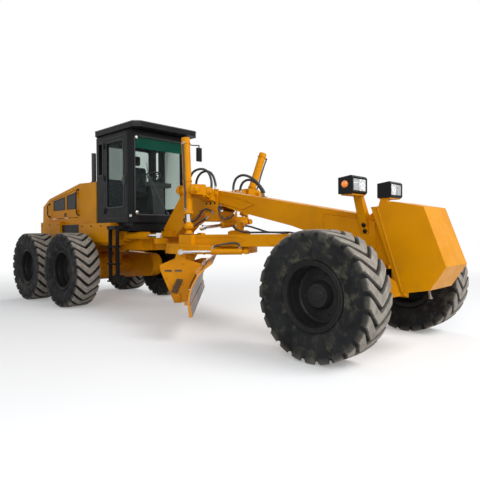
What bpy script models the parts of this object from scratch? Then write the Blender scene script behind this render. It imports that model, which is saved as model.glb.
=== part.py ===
# Motor grader with an articulated frame, six wheels and a raised blade.
# Metres, +X forward, +Y to the driver's left, +Z up. The ground is Z = 0.
# The origin is on the ground under the middle of the machine.
import math

import bmesh
import bpy
from mathutils import Matrix, Vector

# Clearances
SEAT = 0.0003
PIN_GAP = 0.0006
RUN_GAP = 0.006
EYE_GAP = 0.008

# Driving dimensions
FRONT_AXLE_X = 3.365
WHEELBASE = 6.219
TANDEM_SPACING = 1.538
HALF_TRACK = 1.078
TYRE_RADIUS = 0.675
TYRE_WIDTH = 0.445
BEAD_RADIUS = 0.330
RIM_FLANGE_RADIUS = 0.362
RIM_FLANGE = 0.018
WHEEL_SIDES = 24
LUGS = 24
LUG_HALF = math.radians(4.6)
LUG_SLOPE = math.radians(1.2)
GROOVE_RADIUS = 0.640
TANDEM_X = FRONT_AXLE_X - WHEELBASE
REAR_WHEELS_X = (TANDEM_X + TANDEM_SPACING / 2, TANDEM_X - TANDEM_SPACING / 2)
ARTICULATION_X = -0.585

# Blade linkage, in plan from the drawbar's ball
BALL_X = 2.615
BALL_Z = 1.08
BALL_RADIUS = 0.07
BALL_EARS = ((0.96, 1.005), (1.155, 1.20))
DRAWBAR_TURN = math.radians(3.5)
DRAWBAR_LENGTH = 1.95
BLADE_TURN = math.radians(45.57)
CIRCLE_RADIUS = 0.72
CIRCLE_WALL = 0.12
CIRCLE_BOTTOM = 1.02
CIRCLE_TOP = 1.12
BLADE_LENGTH = 3.25
BLADE_SHIFT = -0.108
BLADE_BACK = -0.20
BLADE_THICKNESS = 0.022
CUTTING_EDGE_Z = 0.31
BLADE_TOP_Z = 0.945
BLADE_LEAN = 0.26
BLADE_SAGITTA = 0.115
PITCH_PIVOT = (-0.46, 0.42)
PITCH_EAR = (0.50, -0.88, 1.06)
PITCH_EYE = (-0.40, -0.88, 1.06)
SWING_EAR = (0.99, 0.40, 1.50)

# Steering, wheel lean and lift points
LEAN_PIVOT = (HALF_TRACK - 0.418, TYRE_RADIUS - 0.125)
KINGPIN_Y = HALF_TRACK - 0.278
LEAN_BAR = (FRONT_AXLE_X - 0.175, HALF_TRACK - 0.458, TYRE_RADIUS + 0.195)
TRUNNION = (0.765, 0.68, 1.96)
STUD = (-1.85, 0.58)
LIFT_EYE_Z = 1.4238

# Cab and hood
CAB_HALF = 0.65
CAB_BACK = -1.905
CAB_FRONT = -0.745
CAB_FLOOR = 1.52
CAB_TOP = 3.10
CAB_WALL = 0.05
ROOF_HALF = 0.70
DOOR_BACK = -1.62
DOOR_FRONT = -0.93
DOOR_BOTTOM = 1.60
DOOR_TOP = 3.04
DOOR_GAP = 0.005
HINGE_OUT = 0.014
HINGE_RADIUS = 0.012
GLASS = 0.008
HOOD_HALF = 0.64
HOOD_WALL = 0.04
HOOD_DOOR_GAP = 0.010
HOOD_PANEL = 0.018
DECK_TOP = 1.5197
REAR_BOX_TOP = 1.58

# Colour as red, green, blue; then roughness and metallic
PAINTS = {
    "yellow": ((0.60, 0.29, 0.012), 0.45, 0.0),
    "black": ((0.012, 0.012, 0.013), 0.42, 0.0),
    "rubber": ((0.020, 0.019, 0.018), 0.85, 0.0),
    "steel": ((0.30, 0.28, 0.26), 0.50, 0.8),
    "chrome": ((0.75, 0.75, 0.76), 0.12, 1.0),
    "glass": ((0.06, 0.09, 0.08), 0.08, 0.0),
    "trim": ((0.035, 0.036, 0.038), 0.70, 0.0),
    "cast": ((0.055, 0.052, 0.050), 0.60, 0.2),
}

SIDES = {"right": -1.0, "left": 1.0}
FORWARD = Vector((1.0, 0.0, 0.0))
LEFT = Vector((0.0, 1.0, 0.0))
UP = Vector((0.0, 0.0, 1.0))


def clear_scene():
    for item in list(bpy.data.objects):
        bpy.data.objects.remove(item, do_unlink=True)


def paint(name):
    found = bpy.data.materials.get(name)
    if found:
        return found
    colour, roughness, metallic = PAINTS[name]
    material = bpy.data.materials.new(name)
    material.use_nodes = True
    shader = material.node_tree.nodes["Principled BSDF"]
    shader.inputs["Base Color"].default_value = (*colour, 1.0)
    shader.inputs["Roughness"].default_value = roughness
    shader.inputs["Metallic"].default_value = metallic
    return material


def closed_mesh(verts, faces):
    mesh = bpy.data.meshes.new("form")
    mesh.from_pydata([tuple(v) for v in verts], [], faces)
    work = bmesh.new()
    work.from_mesh(mesh)
    bmesh.ops.recalc_face_normals(work, faces=work.faces)
    work.to_mesh(mesh)
    work.free()
    return mesh


def plate(outline, axis, low, high):
    """A flat outline carried along an axis. Its points are (X, Z) for Y, (Y, Z) for X, (X, Y) for Z."""
    place = {
        "X": lambda p, along: (along, p[0], p[1]),
        "Y": lambda p, along: (p[0], along, p[1]),
        "Z": lambda p, along: (p[0], p[1], along),
    }[axis]
    count = len(outline)
    verts = [place(p, low) for p in outline] + [place(p, high) for p in outline]
    faces = [tuple(range(count)), tuple(range(count, 2 * count))]
    for k in range(count):
        after = (k + 1) % count
        faces.append((k, after, count + after, count + k))
    return closed_mesh(verts, faces)


def block(x, y, z):
    """A block between two X, two Y and two Z."""
    return plate([(x[0], y[0]), (x[1], y[0]), (x[1], y[1]), (x[0], y[1])], "Z", z[0], z[1])


def bevelled(mesh, width, steps=2):
    """Rounds the upright edges of a block or plate."""
    work = bmesh.new()
    work.from_mesh(mesh)
    upright = [
        e for e in work.edges
        if abs((e.verts[0].co - e.verts[1].co).normalized().z) > 0.999
    ]
    bmesh.ops.bevel(work, geom=upright, offset=width, segments=steps, profile=0.5, affect="EDGES")
    work.to_mesh(mesh)
    work.free()
    return mesh


def aimed(start, direction):
    """The matrix that carries +Z from the origin to a start point and direction."""
    turn = UP.rotation_difference(Vector(direction).normalized()).to_matrix().to_4x4()
    return Matrix.Translation(Vector(start)) @ turn


def turned(profile, sides, start, direction, ring=False):
    """A turned form. The profile's points are (distance along the axis, radius)."""
    verts = []
    rows = []
    for along, radius in profile:
        if radius == 0.0:
            rows.append([len(verts)])
            verts.append((0.0, 0.0, along))
            continue
        row = []
        for k in range(sides):
            angle = 2.0 * math.pi * (k + 0.5) / sides
            row.append(len(verts))
            verts.append((radius * math.cos(angle), radius * math.sin(angle), along))
        rows.append(row)
    faces = []
    pairs = list(zip(rows, rows[1:] + rows[:1])) if ring else list(zip(rows, rows[1:]))
    for low, high in pairs:
        for k in range(sides):
            after = (k + 1) % sides
            if len(low) == 1 and len(high) == 1:
                continue
            if len(low) == 1:
                faces.append((low[0], high[after], high[k]))
            elif len(high) == 1:
                faces.append((low[k], low[after], high[0]))
            else:
                faces.append((low[k], low[after], high[after], high[k]))
    mesh = closed_mesh(verts, faces)
    mesh.transform(aimed(start, direction))
    return mesh


def rod_between(start, end, radius, sides=12):
    start = Vector(start)
    reach = Vector(end) - start
    length = reach.length
    return turned([(0, 0), (0, radius), (length, radius), (length, 0)], sides, start, reach)


def pipe(points, radius, sides=8):
    """A round bar bent through a list of points, with mitred corners."""
    points = [Vector(p) for p in points]
    verts = []
    faces = []
    side = None
    for k, point in enumerate(points):
        before = (point - points[k - 1]).normalized() if k else None
        after = (points[k + 1] - point).normalized() if k + 1 < len(points) else None
        run = before or after
        if side is None:
            side = run.cross(UP) if abs(run.z) < 0.9 else run.cross(FORWARD)
        side = (side - run * side.dot(run)).normalized()
        other = run.cross(side)
        normal = (before + after).normalized() if before and after else run
        for j in range(sides):
            angle = 2.0 * math.pi * j / sides
            spoke = (side * math.cos(angle) + other * math.sin(angle)) * radius
            spoke = spoke - run * (spoke.dot(normal) / run.dot(normal))
            verts.append(point + spoke)
        if after:
            side = (side - after * side.dot(after)).normalized()
    for k in range(len(points) - 1):
        for j in range(sides):
            a = k * sides + j
            b = k * sides + (j + 1) % sides
            faces.append((a, b, b + sides, a + sides))
    faces.append(tuple(range(sides)))
    last = (len(points) - 1) * sides
    faces.append(tuple(range(last, last + sides)))
    return closed_mesh(verts, faces)


def moved(mesh, matrix):
    copy = mesh.copy()
    copy.transform(matrix)
    if matrix.to_3x3().determinant() < 0:
        copy.flip_normals()
    return copy


def mirrored(mesh):
    """The same form on the other side of the machine."""
    return moved(mesh, Matrix.Diagonal((1.0, -1.0, 1.0, 1.0)))


def both_sides(meshes):
    return list(meshes) + [mirrored(mesh) for mesh in meshes]


def fused(forms, cuts=()):
    """Joins overlapping forms into one closed body, then takes the cutters out of it."""
    collection = bpy.context.scene.collection
    base = bpy.data.objects.new("base", forms[0])
    collection.objects.link(base)
    helpers = []
    steps = [(mesh, "UNION") for mesh in forms[1:]] + [(mesh, "DIFFERENCE") for mesh in cuts]
    for mesh, action in steps:
        helper = bpy.data.objects.new("helper", mesh)
        collection.objects.link(helper)
        helpers.append(helper)
        step = base.modifiers.new(action.lower(), "BOOLEAN")
        step.operation = action
        step.object = helper
        step.solver = "EXACT"
    graph = bpy.context.evaluated_depsgraph_get()
    graph.update()
    result = bpy.data.meshes.new_from_object(base.evaluated_get(graph))
    for item in [base, *helpers]:
        bpy.data.objects.remove(item)
    work = bmesh.new()
    work.from_mesh(result)
    bmesh.ops.remove_doubles(work, verts=work.verts, dist=0.00001)
    bmesh.ops.dissolve_limit(
        work, angle_limit=math.radians(0.3), verts=work.verts, edges=work.edges
    )
    work.to_mesh(result)
    work.free()
    return result


def hinge(x, wall, heights, way):
    """The knuckles and leaves of a hinge beside a wall's face at +Y: those of the wall, then the door's.

    The pin stands at X = x, outside the face. The door lies on the side of the pin that way tells.
    """
    pin = wall + HINGE_OUT
    fixed = []
    moving = []
    for z in heights:
        for forms, low, high, side in (
            (fixed, z - 0.05, z, -way), (moving, z + PIN_GAP, z + 0.05, way),
        ):
            near = x + (side * DOOR_GAP if forms is fixed else 0.0)
            leaf = tuple(sorted((near, x + side * 0.05)))
            forms.append(rod_between((x, pin, low), (x, pin, high), HINGE_RADIUS))
            forms.append(block(leaf, (wall - 0.005, pin), (low, high)))
            if forms is fixed:
                strap = tuple(sorted((near, x)))
                forms.append(block(strap, (wall + 0.004, pin), (low, high)))
    return fixed, moving


PIVOTS = {}


def pivot(name, place, parent=None, turn=0.0):
    """An empty on a joint's axis, placed and turned in the machine's own frame."""
    empty = bpy.data.objects.new("axis_" + name, None)
    empty.empty_display_size = 0.15
    bpy.context.scene.collection.objects.link(empty)
    world = Matrix.Translation(Vector(place)) @ Matrix.Rotation(turn, 4, "Z")
    own = world
    if parent:
        empty.parent = bpy.data.objects["axis_" + parent]
        own = PIVOTS[parent].inverted() @ world
    empty.matrix_local = own
    PIVOTS[name] = world


def add(name, mesh, colour, on=None, frame=None):
    """Puts a form into the scene on its pivot. The frame carries the form's numbers to the world."""
    to_world = frame or Matrix.Identity(4)
    home = PIVOTS[on] if on else Matrix.Identity(4)
    mesh.transform(home.inverted() @ to_world)
    mesh.name = name
    mesh.materials.clear()
    mesh.materials.append(paint(colour))
    mesh.shade_smooth()
    mesh.set_sharp_from_angle(angle=math.radians(32))
    item = bpy.data.objects.new(name, mesh)
    bpy.context.scene.collection.objects.link(item)
    if on:
        item.parent = bpy.data.objects["axis_" + on]
    return item


def drawbar_frame():
    """Plan frame of the drawbar: its ball is at X = 0 and Z is the height above the ground."""
    return Matrix.Translation((BALL_X, 0.0, 0.0)) @ Matrix.Rotation(DRAWBAR_TURN, 4, "Z")


def circle_frame():
    """Plan frame of the circle: the blade lies along Y and faces +X."""
    turn = Matrix.Rotation(BLADE_TURN - DRAWBAR_TURN, 4, "Z")
    return drawbar_frame() @ Matrix.Translation((-DRAWBAR_LENGTH, 0.0, 0.0)) @ turn


# Name, X, side, distance from the wheel's middle to the inner and outer end of its hub
WHEELS = (
    ("front_right", FRONT_AXLE_X, "right", -0.147, 0.085),
    ("front_left", FRONT_AXLE_X, "left", -0.147, 0.085),
    ("middle_right", REAR_WHEELS_X[0], "right", -0.247, 0.050),
    ("middle_left", REAR_WHEELS_X[0], "left", -0.247, 0.050),
    ("rear_right", REAR_WHEELS_X[1], "right", -0.247, 0.050),
    ("rear_left", REAR_WHEELS_X[1], "left", -0.247, 0.050),
)


def set_pivots():
    pivot("articulation", (ARTICULATION_X, 0, 1.05))
    for name, sign in SIDES.items():
        pivot("wheel_lean_" + name, (FRONT_AXLE_X, sign * LEAN_PIVOT[0], LEAN_PIVOT[1]), "articulation")
        pivot("steering_" + name, (FRONT_AXLE_X, sign * KINGPIN_Y, TYRE_RADIUS), "wheel_lean_" + name)
        pivot("cab_door_" + name, (DOOR_BACK, sign * (CAB_HALF + HINGE_OUT), DOOR_BOTTOM))
        pivot("hood_door_" + name, (HOOD_DOOR[0][0], sign * (HOOD_HALF + HINGE_OUT), HOOD_DOOR[0][1]))
        pivot("lift_swing_" + name, (TRUNNION[0], sign * TRUNNION[1], TRUNNION[2]), "articulation")
        pivot("steer_cylinder_" + name, (ART_REAR_EYE[0], sign * ART_REAR_EYE[1], ART_REAR_EYE[2]))
    pivot("lean_bar", (LEAN_BAR[0], -LEAN_BAR[1], LEAN_BAR[2]), "wheel_lean_right")
    for name, x, side, _, _ in WHEELS:
        parent = "steering_" + side if name.startswith("front") else None
        pivot("wheel_" + name, (x, SIDES[side] * HALF_TRACK, TYRE_RADIUS), parent)
    pivot("drawbar_swing", (BALL_X, 0, BALL_Z), "articulation", DRAWBAR_TURN)
    pivot("drawbar_lift", (BALL_X, 0, BALL_Z), "drawbar_swing", DRAWBAR_TURN)
    circle = circle_frame()
    pivot("circle_turn", circle.translation, "drawbar_lift", BLADE_TURN)
    pitch_place = circle @ Vector((PITCH_PIVOT[0], 0, PITCH_PIVOT[1]))
    pivot("blade_pitch", pitch_place, "circle_turn", BLADE_TURN)
    pivot("pitch_cylinder", circle @ Vector(PITCH_EAR), "circle_turn", BLADE_TURN)
    pivot("swing_cylinder", SWING_EAR, "articulation")


def tyre(centre, outward):
    """A tyre with wide V-shaped lugs. One lug tip always stands flat on the ground.

    The tread's inner, middle and outer rings share one tooth form, and the middle ring is turned by
    one lug's pitch, so each lug runs as a V. The sidewalls narrow to a plainer ring and to the bead.
    """
    tip = TYRE_RADIUS / math.cos(LUG_HALF)
    pitch = 2.0 * math.pi / LUGS
    teeth = ((-LUG_HALF, tip), (LUG_HALF, tip), (LUG_HALF + LUG_SLOPE, GROOVE_RADIUS),
             (pitch - LUG_HALF - LUG_SLOPE, GROOVE_RADIUS))
    half = TYRE_WIDTH / 2
    verts = []
    rows = []
    for y, turn in ((-0.205, 0.0), (0.0, pitch), (0.205, 0.0)):
        row = []
        for k in range(LUGS):
            for angle, radius in teeth:
                a = math.pi / 2 + k * pitch + angle + turn
                row.append(len(verts))
                verts.append((radius * math.cos(a), radius * math.sin(a), y))
        rows.append(row)
    faces = []
    for low, high in zip(rows, rows[1:]):
        for k in range(4 * LUGS):
            after = (k + 1) % (4 * LUGS)
            faces.append((low[k], low[after], high[after], high[k]))
    bead = []
    for sign, edge in ((-1, rows[0]), (1, rows[2])):
        rings = []
        for y, radius in ((half, 0.55), (half, 0.47), (0.170, 0.375), (0.170, BEAD_RADIUS)):
            ring = []
            for k in range(LUGS):
                a = math.pi / 2 + (k + 0.5) * pitch
                ring.append(len(verts))
                verts.append((radius * math.cos(a), radius * math.sin(a), sign * y))
            rings.append(ring)
        for k in range(LUGS):
            after = (k + 1) % LUGS
            foot = rings[0][k]
            tooth = edge[4 * k:4 * k + 4] + [edge[4 * after]]
            faces.append((rings[0][k - 1], tooth[0], tooth[1], foot))
            faces += [(foot, tooth[j], tooth[j + 1]) for j in (1, 2, 3)]
            for low, high in zip(rings, rings[1:]):
                faces.append((low[k], low[after], high[after], high[k]))
        bead.append(rings[-1])
    for k in range(LUGS):
        after = (k + 1) % LUGS
        faces.append((bead[0][k], bead[0][after], bead[1][after], bead[1][k]))
    mesh = closed_mesh(verts, faces)
    mesh.transform(aimed(centre, outward))
    return mesh


def rim_form(hub_in, hub_out):
    """A deep dished disc wheel in one turned form, from the inner end of the hub to the outer."""
    bead = 0.170 + SEAT
    lip = bead + RIM_FLANGE
    return [
        (hub_in, 0), (hub_in, 0.125), (-0.030, 0.130), (-0.030, 0.275), (-lip, 0.305),
        (-lip, RIM_FLANGE_RADIUS), (-bead, RIM_FLANGE_RADIUS), (-bead, BEAD_RADIUS - SEAT),
        (bead, BEAD_RADIUS - SEAT), (bead, RIM_FLANGE_RADIUS), (lip, RIM_FLANGE_RADIUS),
        (lip, 0.305), (-0.008, 0.280), (-0.008, 0.150), (hub_out, 0.120), (hub_out, 0),
    ]


def wheels():
    for name, x, side, hub_in, hub_out in WHEELS:
        centre = (x, SIDES[side] * HALF_TRACK, TYRE_RADIUS)
        outward = (0, SIDES[side], 0)
        add("tyre_" + name, tyre(centre, outward), "rubber", "wheel_" + name)
        rim = turned(rim_form(hub_in, hub_out), WHEEL_SIDES, centre, outward)
        add("rim_" + name, rim, "black", "wheel_" + name)


# Rear frame: the rails run from the articulation hitch to the rear beam
RAIL = (0.20, 0.33)
RAIL_TOP = 1.17
RAIL_BOTTOM = 0.98
RAIL_BACK = -4.25
REAR_X = -4.335
HITCH_FACE = -0.72
HITCH_RADIUS = 0.11
HITCH_Z = (1.03, 1.33)
HITCH_HALF = 0.26
TONGUE = (1.135, 1.255)
HITCH_EARS = ((1.035, TONGUE[0] - PIN_GAP), (TONGUE[1] + PIN_GAP, 1.325))
BOX_INNER = 0.42
BOX_OUTER = HALF_TRACK - TYRE_WIDTH / 2 - 0.1055
RECESS_OUTER = BOX_OUTER - 0.06
# Boxes over the tandem: X of the bottom front, top front and back; bottom, top, outer face
DECK_BOXES = (
    (-1.355, -1.255, -2.425, 1.17, DECK_TOP, BOX_OUTER),
    (-2.400, -2.400, -3.270, 1.21, DECK_TOP, RECESS_OUTER),
    (-3.245, -3.245, -4.145, 1.20, REAR_BOX_TOP, BOX_OUTER),
)


def arc(centre, radius, first, last, steps):
    """Points on a circle's arc, with its angles in degrees."""
    return [
        (
            centre[0] + radius * math.cos(math.radians(first + (last - first) * k / steps)),
            centre[1] + radius * math.sin(math.radians(first + (last - first) * k / steps)),
        )
        for k in range(steps + 1)
    ]


def rear_frame():
    rail = plate(
        [(-1.00, 1.03), (-1.00, 1.31), (-1.45, 1.31), (-1.62, RAIL_TOP),
         (RAIL_BACK, RAIL_TOP), (RAIL_BACK, RAIL_BOTTOM), (-1.70, RAIL_BOTTOM), (-1.55, 1.03)],
        "Y", *RAIL,
    )
    forms = both_sides([rail])
    forms.append(block((-1.12, HITCH_FACE), (-HITCH_HALF, HITCH_HALF), HITCH_Z))
    forms.append(block((-4.20, -1.40), (0.05 - BOX_OUTER, BOX_OUTER - 0.05), (1.155, 1.1985)))
    forms.append(block((REAR_X, -4.20), (-0.62, 0.62), (0.96, 1.24)))
    for bottom, top in HITCH_EARS:
        ear = arc((ARTICULATION_X, 0), HITCH_RADIUS, -90, 90, 8)
        ear = [(HITCH_FACE - 0.04, -0.20)] + ear + [(HITCH_FACE - 0.04, 0.20)]
        forms.append(plate(ear, "Z", bottom, top))
    for low_front, high_front, back, bottom, top, outer in DECK_BOXES:
        outline = [(low_front, bottom), (high_front, top), (back, top), (back, bottom)]
        forms += both_sides([plate(outline, "Y", BOX_INNER, outer)])
    skirt = [(-1.40, 1.12), (-1.355, 1.18), (-2.0, 1.18), (-2.0, 1.12)]
    forms += both_sides([plate(skirt, "Y", 0.30, BOX_OUTER - 0.05)])
    x, y, z = ART_REAR_EYE
    eye_half = 0.9 * CYLINDER + PIN_GAP
    lower = block((x - 0.07, x + 0.05), (0.31, y + 0.05), (1.19, z - eye_half))
    upper = block((x - 0.09, x + 0.05), (BOX_INNER + 0.005, y + 0.05), (z + eye_half, 1.3695))
    forms += both_sides([lower, upper])
    add("rear_frame", fused(forms), "yellow")


def tandem_axle():
    """The driving axle, with a chain case on each side that carries two wheels."""
    ends = (TANDEM_X - TANDEM_SPACING / 2, TANDEM_X + TANDEM_SPACING / 2)
    outline = (
        arc((ends[1], TYRE_RADIUS), 0.235, -80, 80, 6)
        + arc((TANDEM_X, TYRE_RADIUS), 0.30, 65, 115, 3)
        + arc((ends[0], TYRE_RADIUS), 0.235, 100, 260, 6)
        + arc((TANDEM_X, TYRE_RADIUS), 0.30, 245, 295, 3)
    )
    wall = HALF_TRACK - 0.273
    spindle_end = HALF_TRACK + WHEELS[2][3] - PIN_GAP
    forms = both_sides([plate(outline, "Y", wall - 0.235, wall)])
    for x, radius in ((TANDEM_X, 0.13), (ends[0], 0.15), (ends[1], 0.15)):
        spindle = rod_between((x, wall - 0.015, TYRE_RADIUS), (x, spindle_end, TYRE_RADIUS), radius, 16)
        forms += both_sides([spindle])
    half = wall - 0.205
    housing = turned(
        [(-half, 0), (-half, 0.19), (-0.33, 0.15), (-0.22, 0.25), (-0.12, 0.30),
         (0.12, 0.30), (0.22, 0.25), (0.33, 0.15), (half, 0.19), (half, 0)],
        16, (TANDEM_X, 0, TYRE_RADIUS), LEFT,
    )
    forms.append(housing)
    saddle = [(0.16, 0.70), (0.36, 0.80), (0.36, RAIL_BOTTOM - SEAT), (0.16, RAIL_BOTTOM - SEAT)]
    forms += both_sides([plate(saddle, "X", TANDEM_X - 0.16, TANDEM_X + 0.16)])
    add("tandem_axle", fused(forms), "yellow")


# Hood: side profile, and the side door's outline, as (X, Z)
HOOD = (
    (-1.955, DECK_TOP + SEAT), (-1.955, 2.30), (-2.585, 2.32), (-3.945, 2.09), (-4.265, 1.93),
    (-4.285, REAR_BOX_TOP + SEAT), (-3.2447, REAR_BOX_TOP + SEAT), (-3.2447, DECK_TOP + SEAT),
)
HOOD_INSIDE = (
    (-2.00, 1.40), (-2.00, 2.26), (-2.585, 2.28), (-3.935, 2.05), (-4.225, 1.90), (-4.24, 1.40),
)
HOOD_DOOR = ((-2.66, 1.66), (-2.66, 2.22), (-3.88, 2.02), (-3.88, 1.66))
HOOD_HINGES = (1.76, 2.10)
ENGINE = ((-3.85, -2.30), 0.30, (1.1988, 1.90))


def inset(outline, by):
    """Moves the sides of a four-cornered outline in X and Z towards its middle."""
    middle = (sum(p[0] for p in outline) / len(outline), sum(p[1] for p in outline) / len(outline))
    return [
        (x + (by if x < middle[0] else -by), z + (by if z < middle[1] else -by)) for x, z in outline
    ]


def hood():
    shell = plate(HOOD, "Y", -HOOD_HALF, HOOD_HALF)
    inside = plate(HOOD_INSIDE, "Y", -(HOOD_HALF - HOOD_WALL), HOOD_HALF - HOOD_WALL)
    doorway = plate(inset(HOOD_DOOR, -HOOD_DOOR_GAP), "Y", -1.0, 1.0)
    grille = block((-4.40, -4.20), (-0.50, 0.50), (1.66, 1.88))
    holes = [inside, doorway, grille]
    fixed, moving = hinge(HOOD_DOOR[0][0], HOOD_HALF, HOOD_HINGES, -1)
    walls = fused([shell], holes)
    add("hood", fused([walls, *both_sides(fixed)]), "yellow")
    panel = plate(HOOD_DOOR, "Y", HOOD_HALF - HOOD_PANEL, HOOD_HALF)
    door = fused([panel, *moving])
    for name, sign in SIDES.items():
        panel = door.copy() if sign > 0 else mirrored(door)
        add("hood_door_" + name, panel, "yellow", "hood_door_" + name)
    slats = [block((-4.262, -4.250), (-0.495, 0.495), (z, z + 0.018)) for z in
             [1.675 + 0.036 * k for k in range(6)]]
    posts = [block((-4.256, -4.236), (y, y + 0.02), (1.6603, 1.8797)) for y in (-0.48, -0.01, 0.46)]
    add("radiator_grille", fused(posts + slats), "black")
    x, half, z = ENGINE
    add("engine", bevelled(block(x, (-half, half), z), 0.05), "cast")


# Openings of the cab, as low and high of the two axes across each wall
FRONT_WINDOW = ((-0.575, 0.575), (1.66, 3.00))
REAR_WINDOW = ((-0.52, 0.52), (2.36, 2.98))
QUARTER_WINDOW = ((-1.835, -1.690), (2.40, 2.98))
DOOR_WINDOW = ((-1.545, -1.005), (1.80, 2.96))
DOOR_HINGES = (1.74, 2.34, 2.92)
SEAT_X = -1.42
COLUMN_X = -1.00


def windowpane(across, height, axis, centre):
    """A pane in the middle of a wall, a seat's gap inside its opening."""
    low = centre - GLASS / 2
    high = centre + GLASS / 2
    a = (across[0] + SEAT, across[1] - SEAT)
    z = (height[0] + SEAT, height[1] - SEAT)
    return block((low, high), a, z) if axis == "X" else block(a, (low, high), z)


def cab():
    outer = [
        (CAB_BACK, -CAB_HALF), (CAB_FRONT - 0.12, -CAB_HALF), (CAB_FRONT - 0.03, -CAB_HALF + 0.04),
        (CAB_FRONT, -CAB_HALF + 0.12), (CAB_FRONT, CAB_HALF - 0.12),
        (CAB_FRONT - 0.03, CAB_HALF - 0.04), (CAB_FRONT - 0.12, CAB_HALF), (CAB_BACK, CAB_HALF),
    ]
    wall = CAB_WALL
    inner = [
        (CAB_BACK + wall, -CAB_HALF + wall), (CAB_FRONT - 0.14, -CAB_HALF + wall),
        (CAB_FRONT - wall, -CAB_HALF + 0.15), (CAB_FRONT - wall, CAB_HALF - 0.15),
        (CAB_FRONT - 0.14, CAB_HALF - wall), (CAB_BACK + wall, CAB_HALF - wall),
    ]
    shell = plate(outer, "Z", CAB_FLOOR, CAB_TOP)
    pan = block((-1.88, -0.80), (-BOX_INNER + 0.01, BOX_INNER - 0.01), (1.37, CAB_FLOOR + 0.01))
    apron = block((-1.24, -0.80), (-0.60, 0.60), (1.37, CAB_FLOOR + 0.01))
    pedestal = block((-1.40, -0.88), (-0.255, 0.255), (HITCH_Z[1] + SEAT, 1.38))
    forms = [shell, pan, apron, pedestal, *both_sides(ladder())]
    cuts = [
        plate(inner, "Z", CAB_FLOOR + 0.06, CAB_TOP + 0.1),
        block((DOOR_BACK - DOOR_GAP, DOOR_FRONT + DOOR_GAP), (-1, 1),
              (DOOR_BOTTOM - DOOR_GAP, DOOR_TOP + DOOR_GAP)),
        block((CAB_FRONT - 0.10, CAB_FRONT + 0.10), *FRONT_WINDOW),
        block((CAB_BACK - 0.10, CAB_BACK + 0.10), *REAR_WINDOW),
        block(QUARTER_WINDOW[0], (-1, 1), QUARTER_WINDOW[1]),
    ]
    fixed, moving = hinge(DOOR_BACK, CAB_HALF, DOOR_HINGES, 1)
    add("cab_body", fused([fused(forms, cuts), *both_sides(fixed)]), "black")
    roof = [(CAB_BACK - 0.05, -0.60), (CAB_BACK + 0.05, -ROOF_HALF), (-0.63, -ROOF_HALF), (-0.535, -0.60)]
    roof += [(x, -y) for x, y in reversed(roof)]
    crown = [(-1.87, -0.52), (-0.62, -0.52), (-0.62, 0.52), (-1.87, 0.52)]
    top = fused([
        plate(roof, "Z", CAB_TOP + 0.02, CAB_TOP + 0.115), plate(crown, "Z", CAB_TOP + 0.1, CAB_TOP + 0.145),
        block((CAB_BACK + 0.01, CAB_FRONT - 0.05), (-CAB_HALF + 0.01, CAB_HALF - 0.01),
              (CAB_TOP + SEAT, CAB_TOP + 0.03)),
    ])
    add("cab_roof", top, "black")
    add("windshield", windowpane(*FRONT_WINDOW, "X", CAB_FRONT - wall / 2), "glass")
    add("rear_window", windowpane(*REAR_WINDOW, "X", CAB_BACK + wall / 2), "glass")
    for name, sign in SIDES.items():
        frame = fused(
            [block((DOOR_BACK, DOOR_FRONT), (CAB_HALF - wall, CAB_HALF), (DOOR_BOTTOM, DOOR_TOP)), *moving],
            [block(DOOR_WINDOW[0], (CAB_HALF - 0.1, CAB_HALF + 0.1), DOOR_WINDOW[1])],
        )
        add("cab_door_" + name, frame if sign > 0 else mirrored(frame), "black", "cab_door_" + name)
        pane = windowpane(*DOOR_WINDOW, "Y", sign * (CAB_HALF - wall / 2))
        add("door_glass_" + name, pane, "glass", "cab_door_" + name)


# Ladder: rail places, top and bottom heights, step heights
LADDER_X = (-1.23, -1.00)
LADDER_Y = 0.78
LADDER_TOP = 1.44
LADDER_STEPS = (0.50, 0.80, 1.10)


def ladder():
    """Two hanging rails with steps, carried by the cab's floor pan."""
    forms = [
        block((x - 0.015, x + 0.015), (LADDER_Y - 0.03, LADDER_Y + 0.03),
              (LADDER_STEPS[0] - 0.02, LADDER_TOP))
        for x in LADDER_X
    ]
    forms += [
        block(LADDER_X, (LADDER_Y - 0.07, LADDER_Y + 0.07), (z - 0.012, z + 0.012)) for z in LADDER_STEPS
    ]
    forms.append(block((LADDER_X[0] - 0.01, LADDER_X[1] + 0.01), (0.58, LADDER_Y + 0.06), (1.40, 1.46)))
    return forms


def operator_station():
    cushion = bevelled(block((SEAT_X - 0.22, SEAT_X + 0.26), (-0.25, 0.25), (1.96, 2.09)), 0.05)
    back = plate(
        [(SEAT_X - 0.26, 2.02), (SEAT_X - 0.12, 2.02), (SEAT_X - 0.20, 2.66), (SEAT_X - 0.30, 2.66)],
        "Y", -0.23, 0.23,
    )
    post = block((SEAT_X - 0.17, SEAT_X + 0.17), (-0.18, 0.18), (1.5803, 1.99))
    add("seat", fused([cushion, back, post]), "trim")
    column = plate(
        [
            (COLUMN_X - 0.05, 1.5803), (COLUMN_X + 0.16, 1.5803),
            (COLUMN_X + 0.10, 2.20), (COLUMN_X - 0.03, 2.28),
        ],
        "Y", -0.14, 0.14,
    )
    shelf = block((COLUMN_X - 0.06, COLUMN_X + 0.12), (-0.30, 0.30), (2.16, 2.26))
    tilt = Vector((-0.55, 0, 1))
    hub = Vector((COLUMN_X - 0.04, 0, 2.24))
    stalk = rod_between(hub, hub + tilt * 0.12, 0.03, 10)
    wheel = turned(
        [(0, 0), (0.0, 0.19), (0.030, 0.19), (0.030, 0)], 16, hub + tilt * 0.10, tilt,
    )
    hollow = turned([(0.012, 0), (0.012, 0.155), (0.1, 0.155), (0.1, 0)], 16, hub + tilt * 0.10, tilt)
    add("steering_console", fused([column, shelf, stalk, wheel], [hollow]), "trim")


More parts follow.
